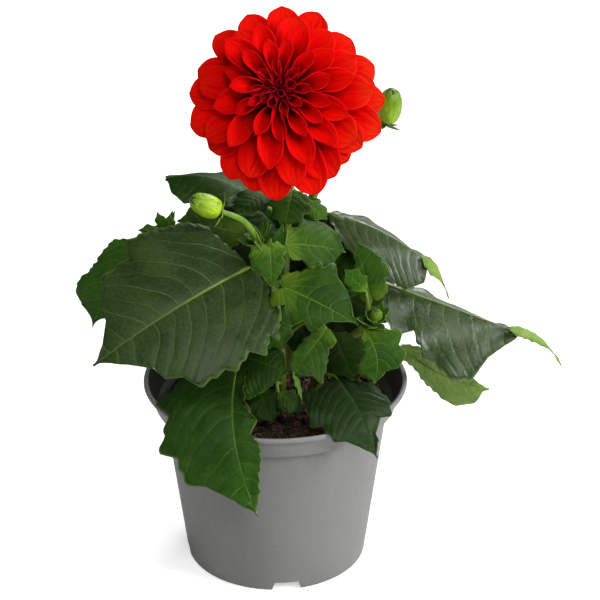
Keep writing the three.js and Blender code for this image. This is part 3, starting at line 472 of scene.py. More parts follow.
# Points of a smooth curve through the given points, and the given values in between them.
def smooth_curve(points, values, steps):
    points = np.array(points, float)
    ends = [2 * points[0] - points[1], *points, 2 * points[-1] - points[-2]]
    curve = []
    sizes = []
    for k in range(len(points) - 1):
        p0, p1, p2, p3 = ends[k:k + 4]
        d0, d1, d2 = (max(np.linalg.norm(b - a), 1e-6) ** 0.5
                      for a, b in ((p0, p1), (p1, p2), (p2, p3)))
        leave = ((p1 - p0) / d0 - (p2 - p0) / (d0 + d1) + (p2 - p1) / d1) * d1
        reach = ((p2 - p1) / d1 - (p3 - p1) / (d1 + d2) + (p3 - p2) / d2) * d1
        last = k == len(points) - 2
        for t in np.linspace(0, 1, steps + 1)[: None if last else -1]:
            spot = (p1 + leave * t + (3 * (p2 - p1) - 2 * leave - reach) * t * t
                    + (2 * (p1 - p2) + leave + reach) * t ** 3)
            curve.append(spot)
            sizes.append(values[k] + (values[k + 1] - values[k]) * t)
    return np.array(curve), np.array(sizes)


# Tone by how deep in the plant a point lies: 1 outside, falling to the darkest value at the
# heart of the foliage, where leaves and stems get little light.
FOLIAGE_HEART = (4.0, 8.0, 116.0)
FOLIAGE_REACH = (62.0, 36.0, 62.0)
SHADE_START = 0.45
SHADE_RUN = 0.5


def depth_tone(points, darkest):
    away = np.linalg.norm((points - np.array(FOLIAGE_HEART)) / np.array(FOLIAGE_REACH), axis=-1)
    return darkest + (1 - darkest) * np.clip((away - SHADE_START) / SHADE_RUN, 0, 1)


ROD_DARKEST = 0.4
ROD_FIRST_SIDE = (0.3, 0.9, 0.2)
ROD_MAP_SPAN = 6.3


# A round rod along a smooth curve, closed at both ends. Its ridges run along it.
def add_rod(shape, points, radii, sides, steps, finish=0, ridge=0.0, ridges=0):
    curve, sizes = smooth_curve(points, radii, steps)
    tangents = unit(np.gradient(curve, axis=0))
    normal = unit(np.cross(tangents[0], ROD_FIRST_SIDE))
    rings = []
    turns = np.linspace(0, 2 * math.pi, sides, endpoint=False)
    waves = 1 + ridge * np.cos(ridges * turns)
    for centre, tangent, radius in zip(curve, tangents, sizes):
        normal = unit(normal - tangent * normal.dot(tangent))
        side = np.cross(tangent, normal)
        spread = np.outer(np.cos(turns), normal) + np.outer(np.sin(turns), side)
        rings.append(centre + radius * waves[:, None] * spread)
    rows = len(rings)
    faces = []
    for i in range(rows - 1):
        for k in range(sides):
            n = (k + 1) % sides
            faces.append([i * sides + k, i * sides + n, (i + 1) * sides + n, (i + 1) * sides + k])
    faces.append(list(range(sides))[::-1])
    faces.append([(rows - 1) * sides + k for k in range(sides)])
    place = np.stack(np.meshgrid(np.linspace(0, 1, rows), turns / ROD_MAP_SPAN, indexing="ij"), -1)
    points = np.concatenate(rings)
    # The second map holds painted shade, darker deep in the plant.
    tone = np.stack([np.zeros(len(points)), depth_tone(points, ROD_DARKEST)], -1)
    add_mesh(shape, points, faces, finish, place.reshape(-1, 2), tone)


# A fibre's length and height over the soil are each given by a middle value and a spread.
for _ in range(FIBRE_COUNT):
    radius = (soil_edge - 4) * math.sqrt(abs(next(draw)))
    turn = math.pi * next(draw)
    heading = math.pi * next(draw)
    length = FIBRE_LENGTHS[0] + FIBRE_LENGTHS[1] * next(draw)
    path = []
    for share in (-0.5, 0.0, 0.5):
        x = radius * math.cos(turn) + length * share * math.cos(heading + share)
        y = radius * math.sin(turn) + length * share * math.sin(heading + share)
        path.append((x, y, soil_height(x, y) + FIBRE_LIFTS[0] + FIBRE_LIFTS[1] * next(draw)))
    add_rod(soil_shape, path, FIBRE_RADII, sides=5, steps=3)
make_piece("soil_crumbly", soil_shape, [soil_peat], "soil")


# The leafy stems are green and juicy, flushed purple low down. Small leaves with toothed
# edges and tufts of narrow young leaves grow from them; the main one carries the bloom.
LEAF_THICKNESS = 0.5
YOUNG_LEAF_PAIRS = 6.0
# How far a side vein lags by its place across and by that place squared, and how far the side
# veins of one side stand off from those of the other, as a share of the run between two.
VEIN_ARCH = (0.1, 0.4)
VEIN_STAGGER = 0.35

# Veins of a leaf, from its place along and across the blade: the midrib, the side veins that
# arch towards the tip, the fine net between them, the swelling of the blade in between, and
# the fine rays that spread from the stalk's end over the first third of the blade.
vein_group, group_in, group_out = new_group(
    "leaf veins",
    [("Pairs", "Float", 8.0), ("Net Scale", "Float", 26.0), ("Midrib Width", "Float", 0.035)],
    [("Midrib", "Float"), ("Side Veins", "Float"), ("Net", "Float"), ("Swelling", "Float"),
     ("Base", "Float"), ("Rays", "Float")],
)
given = group_in.outputs
tree = vein_group


def map_place(tree, name):
    return add_node(tree, "UVMap", uv_map=name).outputs["UV"]


def from_half(tree, value):
    return calculate(tree, "ABSOLUTE", minus(tree, value, 0.5))


blade_map = map_place(tree, "blade")
blade_parts = split(tree, blade_map)
wander = noise_at(tree, blade_map, 3.5)
along = plus(tree, blade_parts[0], times(tree, minus(tree, wander, 0.5), 0.13))
signed = times(tree, minus(tree, blade_parts[1], 0.5), 2.0)
across = calculate(tree, "ABSOLUTE", signed)
arch = plus(tree, times(tree, across, VEIN_ARCH[0]),
            times(tree, calculate(tree, "POWER", across, 2.0), VEIN_ARCH[1]))
stagger = times(tree, calculate(tree, "LESS_THAN", signed, 0.0), VEIN_STAGGER)
phase = plus(tree, times(tree, minus(tree, along, arch), given["Pairs"]), stagger)
to_vein = minus(tree, 0.5, from_half(tree, calculate(tree, "FRACT", phase)))

# Every second side vein is finer, and all of them thin out towards the edge.
is_second = calculate(tree, "MODULO", calculate(tree, "FLOOR", plus(tree, phase, 40.5)), 2.0)
side_width = times(tree, step_between(tree, across, 0.0, 0.95, 0.055, 0.016),
                   minus(tree, 1.0, times(tree, is_second, 0.45)))
side_veins = minus(tree, 1.0, calculate(tree, "DIVIDE", to_vein, side_width))
side_fade = step_between(tree, across, 0.75, 1.0, 1.0, 0.25)
midrib_width = times(tree, given["Midrib Width"],
                     step_between(tree, blade_parts[0], 0.0, 1.0, 1.0, 0.25))
midrib = minus(tree, 1.0, calculate(tree, "DIVIDE", across, midrib_width))
cells = add_node(tree, "TexVoronoi", {"Vector": blade_map, "Scale": given["Net Scale"]},
                 feature="DISTANCE_TO_EDGE")
from_stalk = plus(tree, blade_parts[0], 0.06)
ray_angle = calculate(tree, "ARCTAN2", times(tree, signed, 0.45), from_stalk)
ray_turn = calculate(tree, "FRACT",
                     plus(tree, times(tree, ray_angle, 3.6), times(tree, wander, 0.5)))
to_ray = times(tree, minus(tree, 0.5, from_half(tree, ray_turn)), from_stalk)
for name, value in (
    ("Rays", times(tree, step_between(tree, to_ray, 0.006, 0.03, 1.0, 0.0),
                   step_between(tree, blade_parts[0], 0.05, 0.42, 1.0, 0.0))),
    ("Midrib", step_between(tree, midrib, 0.0, 0.7)),
    ("Side Veins", times(tree, step_between(tree, side_veins, 0.0, 0.8), side_fade)),
    ("Net", step_between(tree, cells.outputs["Distance"], 0.0, 0.07, 1.0, 0.0)),
    ("Swelling", step_between(tree, to_vein, 0.0, 0.32)),
    ("Base", step_between(tree, blade_parts[0], 0.0, 0.3, 1.0, 0.0)),
):
    tree.links.new(value, group_out.inputs[name])


# The near-black green of painted shade, for leaves and stems deep in the foliage.
PAINTED_SHADE_GREEN = (0.002, 0.005, 0.001, 1.0)
LEAF_GLOW = (0.25, 0.5, 0.04, 1.0)


# Lets a share of the light through a thin skin, in the given colour.
def let_light_through(tree, shader, share, colour):
    glow = add_node(tree, "BsdfTranslucent", {"Color": colour})
    mixed = add_node(tree, "MixShader", {0: share, 1: shader.outputs[0], 2: glow.outputs[0]})
    output = next(node for node in tree.nodes if node.type == "OUTPUT_MATERIAL")
    tree.links.new(mixed.outputs[0], output.inputs["Surface"])


# A leaf's skin: a mottled green, with painted shade where the leaf's tone is low, paler veins,
# a thin rim in a colour of its own and some light let through. The shares say how far each shows.
def leaf_material(name, greens, vein, rim, roughness, pairs, vein_share, through, relief,
                  shine, net_share=0.1, base_share=0.0):
    material, tree, shader = new_material(name)
    inputs = {"Pairs": pairs, "Net Scale": 34.0, "Midrib Width": 0.03}
    veins = add_node(tree, "Group", inputs, node_tree=vein_group).outputs
    clouds = mottle(tree, object_place(tree), coarse=70.0, fine=700.0, fine_share=0.35)
    net = times(tree, veins["Net"], net_share)
    lines = calculate(tree, "MAXIMUM", veins["Midrib"], times(tree, veins["Side Veins"], vein_share))
    lines = calculate(tree, "MAXIMUM", lines, times(tree, veins["Rays"], base_share * 1.3))
    edge_parts = split(tree, map_place(tree, "edge"))
    green = mix_colours(tree, step_between(tree, clouds, 0.34, 0.66), greens[0], greens[1])
    green = mix_colours(tree, times(tree, veins["Base"], base_share), green, vein)
    green = mix_colours(tree, net, green, vein)
    green = mix_colours(tree, times(tree, lines, 0.85), green, vein)
    rim_share = times(tree, step_between(tree, edge_parts[0], 0.955, 0.99), 0.75)
    green = mix_colours(tree, rim_share, green, rim)
    # Painted shade: the green darkens towards near-black where the tone is low.
    green = mix_colours(tree, edge_parts[1], PAINTED_SHADE_GREEN, green)
    tree.links.new(green, shader.inputs["Base Color"])
    tree.links.new(step_between(tree, clouds, 0.3, 0.7, roughness - 0.06, roughness + 0.08),
                   shader.inputs["Roughness"])
    shader.inputs["Specular IOR Level"].default_value = shine
    height = plus(tree, times(tree, veins["Swelling"], 0.6), times(tree, clouds, 0.35))
    height = minus(tree, height, times(tree, lines, 0.5))
    height = minus(tree, height, times(tree, net, 0.5))
    bump_into(tree, shader, height, relief)
    let_light_through(tree, shader, through, mix_colours(tree, 0.5, green, LEAF_GLOW))
    return material


young_leaf_top = leaf_material(
    "young_leaf_top", greens=((0.015, 0.061, 0.003, 1.0), (0.039, 0.11, 0.007, 1.0)),
    vein=(0.19, 0.35, 0.025, 1.0), rim=(0.2, 0.32, 0.07, 1.0), roughness=0.46,
    pairs=YOUNG_LEAF_PAIRS, vein_share=0.6, through=0.15, relief=0.00018, shine=0.08,
    net_share=0.17, base_share=0.45)
young_leaf_under = leaf_material(
    "young_leaf_under", greens=((0.06, 0.14, 0.012, 1.0), (0.11, 0.21, 0.025, 1.0)),
    vein=(0.22, 0.36, 0.06, 1.0), rim=(0.16, 0.26, 0.05, 1.0), roughness=0.55,
    pairs=YOUNG_LEAF_PAIRS, vein_share=0.6, through=0.25, relief=0.00012, shine=0.2)

STEM_GREENS = ((0.075, 0.18, 0.01, 1.0), (0.2, 0.36, 0.03, 1.0))
STEM_FLUSH = (0.085, 0.03, 0.022, 1.0)
stem_skin, tree, shader = new_material("stem_skin")
place = object_place(tree)
long_place = stretched(tree, place, (1.0, 1.0, 0.15))
streaks = mottle(tree, long_place, coarse=240.0, fine=1400.0, fine_share=0.4)
low = step_between(tree, split(tree, place)[2], 0.085, 0.2, 0.75, 0.1)
flush = times(tree, low, step_between(tree, streaks, 0.36, 0.62))
green = mix_colours(tree, step_between(tree, streaks, 0.3, 0.7), STEM_GREENS[0], STEM_GREENS[1])
green = mix_colours(tree, flush, green, STEM_FLUSH)
# Painted shade: the stems darken towards near-black deep in the plant.
tone = split(tree, map_place(tree, "edge"))[1]
tree.links.new(mix_colours(tree, tone, PAINTED_SHADE_GREEN, green), shader.inputs["Base Color"])
shader.inputs["Roughness"].default_value = 0.42
shader.inputs["Specular IOR Level"].default_value = 0.3
shader.inputs["Subsurface Weight"].default_value = 0.1
shader.inputs["Subsurface Radius"].default_value = (0.001, 0.001, 0.0005)
bump_into(tree, shader, streaks, 0.0003)


ROOT_WIDTH_SHARE = 0.12
TOOTH_POINT = 0.72
TOOTH_LEAN = 0.05
LAST_RUN = 0.35
LAST_TOOTH_LIMIT = 0.97
ROOT_FULLNESS = 0.55
TIP_SHARPNESS = 0.85
WIDEST_VALUE = 0.405
TIP_HALF_WIDTH = 0.35


# Half outline of a toothed leaf as (along, across) points from base to tip. Each tooth has a
# point, which leans forward, and a cut behind it.
def toothed_outline(length, width, teeth, depth):
    outline = [(0.0, width * ROOT_WIDTH_SHARE)]
    for k in range(teeth):
        for place, cut, lean in ((k + TOOTH_POINT, 1.0, TOOTH_LEAN), (k + 1, 1 - depth, 0.0)):
            share = place / (teeth + LAST_RUN)
            swell = share ** ROOT_FULLNESS * (1 - share) ** TIP_SHARPNESS / WIDEST_VALUE
            outline.append((length * min(share + lean, LAST_TOOTH_LIMIT), width * swell * cut))
    outline.append((length, TIP_HALF_WIDTH))
    return outline


# A leaf's own frame: the ends and the pull point of its midrib, its length and its up side.
def leaf_frame(leaf):
    base = np.array(leaf["base"], float)
    tip = np.array(leaf["tip"], float)
    chord = unit(tip - base)
    up = np.array(leaf["up"], float)
    up = unit(up - up.dot(chord) * chord)
    side = np.cross(chord, up)
    middle = (base + tip) / 2 + 2 * leaf.get("bow", 0) * up + 2 * leaf.get("sway", 0) * side
    t = np.linspace(0, 1, 200)[:, None]
    curve = (1 - t) ** 2 * base + 2 * t * (1 - t) * middle + t * t * tip
    length = np.linalg.norm(np.diff(curve, axis=0), axis=1).sum()
    return base, middle, tip, up, length


FLATTEST_CUP = 1e-4
FLATTEST_BEND = 1e-5


# Where points of the flat blade come to lie: the midrib arches from base to tip, and each
# side bends away from it by an angle that grows towards the edge.
def place_blade(leaf, along, across):
    base, middle, tip, up, length = leaf_frame(leaf)
    u = np.clip(along / length, 0, 1)[..., None]
    tangent = unit(2 * (1 - u) * (middle - base) + 2 * u * (tip - middle))
    centre = (1 - u) ** 2 * base + 2 * u * (1 - u) * middle + u * u * tip
    centre = centre + tangent * (along[..., None] - u * length)
    normal = unit(up - tangent * (tangent @ up)[..., None])
    right = np.cross(tangent, normal)
    u = u[..., 0]
    fold = np.radians(leaf["fold"][0] + (leaf["fold"][1] - leaf["fold"][0]) * u)
    cup = np.radians(leaf["cup"][0] + (leaf["cup"][1] - leaf["cup"][0]) * u ** leaf.get("open", 1))
    cup = np.where(np.abs(cup) < FLATTEST_CUP, FLATTEST_CUP, cup)
    bend = cup * np.abs(across) / leaf["width"]
    bend = np.where(np.abs(bend) < FLATTEST_BEND, FLATTEST_BEND, bend)
    reach = np.abs(across) * np.sin(bend / 2) / (bend / 2)
    angle = fold + bend / 2
    outward = np.sign(across) * reach * np.cos(angle)
    return centre + right * outward[..., None] + normal * (reach * np.sin(angle))[..., None]


SHORT_TOOTH = 6.5
STEEP_CUT = 0.5
CUT_BULGE = 0.1
TIP_DRAW = 0.6
BULGE_LEAN = 2.2


# A finer outline: the long side of each tooth swells out, in two lobes where it's long, its
# short side is cut straight, and the last run to the tip is drawn in a little.
def swollen(outline, steps, bulge):
    result = []
    for index, (start, end) in enumerate(zip(outline, outline[1:])):
        start = np.array(start, float)
        run = np.array(end, float) - start
        outward = np.array((-run[1], run[0]))
        is_last = index == len(outline) - 2
        if is_last:
            outward = outward * -TIP_DRAW
        elif run[1] < -STEEP_CUT * abs(run[0]):
            outward = outward * CUT_BULGE
        lobes = 2 if math.hypot(*run) > SHORT_TOOTH and not is_last else 1
        for k in range(steps):
            t = k / steps
            swell = math.sin(math.pi * (lobes * t % 1.0) ** BULGE_LEAN) / lobes
            result.append(start + run * t + outward * bulge * swell)
    result.append(np.array(outline[-1], float))
    return np.array(result)


# A thin closed blade from rows of points: an upper face, a lower face and an edge between.
def add_blade(shape, rows, thickness, blade, edge, finishes):
    along = np.gradient(rows, axis=0)
    across = np.gradient(rows, axis=1)
    normals = unit(np.cross(across, along))
    half = (thickness / 2)[..., None]
    count, width = rows.shape[:2]
    second = count * width
    index = np.arange(second).reshape(count, width)
    quads = np.stack([index[:-1, :-1], index[:-1, 1:], index[1:, 1:], index[1:, :-1]], -1)
    quads = quads.reshape(-1, 4)
    rim = np.concatenate([index[0, :], index[1:, -1], index[-1, -2::-1], index[-2:0:-1, 0]])
    after = np.roll(rim, -1)
    rim_quads = np.stack([after, rim, rim + second, after + second], -1)
    points = np.concatenate([(rows + side * normals * half).reshape(-1, 3) for side in (1, -1)])
    faces = np.concatenate([quads, quads[:, ::-1] + second, rim_quads])
    finish = np.repeat([finishes[0], finishes[1], finishes[0]],
                       [len(quads), len(quads), len(rim_quads)])
    blade, edge = (np.tile(part.reshape(-1, 2), (2, 1)) for part in (blade, edge))
    add_mesh(shape, points, faces.tolist(), finish, blade, edge)


BROAD_HALF_WIDTH = 30
SWELL_HEIGHT = 0.11
RIPPLE_HEIGHT = 1.2
RIPPLE_WAVES = 3.2
SWEEP_HEIGHT = 0.5
SWEEP_WAVES = 1.7
GROOVE_DEPTH = 0.45
EDGE_THINNING = 0.45
LEAF_DARKEST = 0.3
STALK_RADIUS = 1.3
STALK_TAPER = 0.3
RIB_STOPS = (0.0, 0.1, 0.25, 0.45, 0.7, 0.92)
RIB_SIZES = (0.62, 0.52, 0.42, 0.32, 0.22, 0.1)


# A leaf is told by the ends of its midrib in millimetres, its up side and its half width.
# "bow" and "sway" bend the midrib. "left" and "right" are half outlines as (along, across)
# points, and without them "teeth" and "depth" make one. "fold" and "cup" are the sides' angles
# in degrees at the base and at the tip, and "stalk" is the stalk's path up to the base. "tone"
# is painted shade, how light the blade is drawn, with "root_shaded_tone" as its share at the
# shaded base.
#
# The blade swells between the side veins, sweeps and ripples towards the edge, and has a
# groove over the midrib. The stalk runs on as the midrib under the blade.
def add_leaf(shape, leaf, finishes, pairs, columns, steps, bulge=0.16):
    leaf = {"fold": (8, 4), "cup": (-25, -25), **leaf}
    *_, up, length = leaf_frame(leaf)
    outline = toothed_outline(length, leaf["width"], leaf.get("teeth", 4), leaf.get("depth", 0.2))
    shares = (np.abs(np.arange(-columns, columns + 1)) / columns) ** 1.5
    hands = np.sign(np.arange(-columns, columns + 1))
    left = swollen(leaf.get("left", outline), steps, bulge)
    right = swollen(leaf.get("right", outline), steps, bulge)
    starts = length * np.linspace(0, 1, len(left)) ** 1.15
    edge_along = np.where(hands[None, :] < 0, left[:, :1], right[:, :1])
    edge_across = np.where(hands[None, :] < 0, left[:, 1:], right[:, 1:])
    along = starts[:, None] + (edge_along - starts[:, None]) * shares
    across = hands * shares * edge_across
    rows = place_blade(leaf, along, across)
    a = along / length
    c = np.abs(across) / leaf["width"]
    phase = (a - VEIN_ARCH[0] * c - VEIN_ARCH[1] * c * c) * pairs + VEIN_STAGGER * (across < 0)
    between = 0.5 - np.abs(phase % 1.0 - 0.5)
    scale = min(1.0, leaf["width"] / BROAD_HALF_WIDTH)
    window = np.clip(4 * shares * (1 - shares), 0, 1) ** 0.5
    swell = SWELL_HEIGHT * scale * (1 - (1 - 2 * between) ** 2) * window
    ripple = leaf.get("ripple", RIPPLE_HEIGHT) * scale * shares ** 3 * np.sin(
        2 * math.pi * (RIPPLE_WAVES * a + 0.37 * (hands < 0) + leaf["width"]))
    sweep = leaf.get("sweep", SWEEP_HEIGHT) * scale * shares * np.sin(
        2 * math.pi * (SWEEP_WAVES * a + 0.8 * shares + leaf["width"]))
    groove = -GROOVE_DEPTH * scale * np.exp(-(across / (1.6 * scale + 0.4)) ** 2) * (1 - a)
    normals = unit(np.cross(np.gradient(rows, axis=1), np.gradient(rows, axis=0)))
    rows = rows + normals * (swell + (ripple + sweep) + groove)[..., None]
    thickness = LEAF_THICKNESS * (1 - EDGE_THINNING * shares) * np.ones_like(along)
    blade = np.stack([a, 0.5 + 0.5 * across / leaf["width"]], -1)
    # Painted shade: the blade is darkened by its tone, more towards its root and deep in the plant.
    root_shaded_tone = leaf.get("root_shaded_tone", 1.0)
    tone = leaf.get("tone", 1.0) * (root_shaded_tone + (1 - root_shaded_tone) * a) * depth_tone(rows, LEAF_DARKEST)
    edge = np.stack([shares * np.ones_like(a), tone], -1)
    add_blade(shape, rows, thickness, blade, edge, finishes)
    rib = place_blade(leaf, length * np.array(RIB_STOPS), np.zeros(len(RIB_STOPS)))
    tangent = unit(np.gradient(rib, axis=0))
    down = -unit(up - tangent * (tangent @ up)[:, None])
    thick = leaf.get("stalk_radius", STALK_RADIUS)
    sizes = thick * np.array(RIB_SIZES)
    rib = rib + down * (0.15 + 0.7 * sizes)[:, None]
    stalk = leaf.get("stalk", [])
    radii = [thick * (1 - STALK_TAPER * k / len(stalk)) for k in range(len(stalk))]
    add_rod(shape, [*stalk, *rib], [*radii, *sizes], 8, 4, finishes[2], 0.06, 3)
    for leaflet in leaf.get("leaflets", []):
        add_leaf(shape, leaflet, leaflet.get("finishes", finishes), pairs, 8, 8)


# The long drawn-out tip of a leaf, a leaflet of its own: a narrow strip that is the same on
# both sides of its rib.
def drawn_tip(outline, **leaflet):
    return {**leaflet, "left": outline, "right": outline, "stalk_radius": 0.5, "ripple": 0}


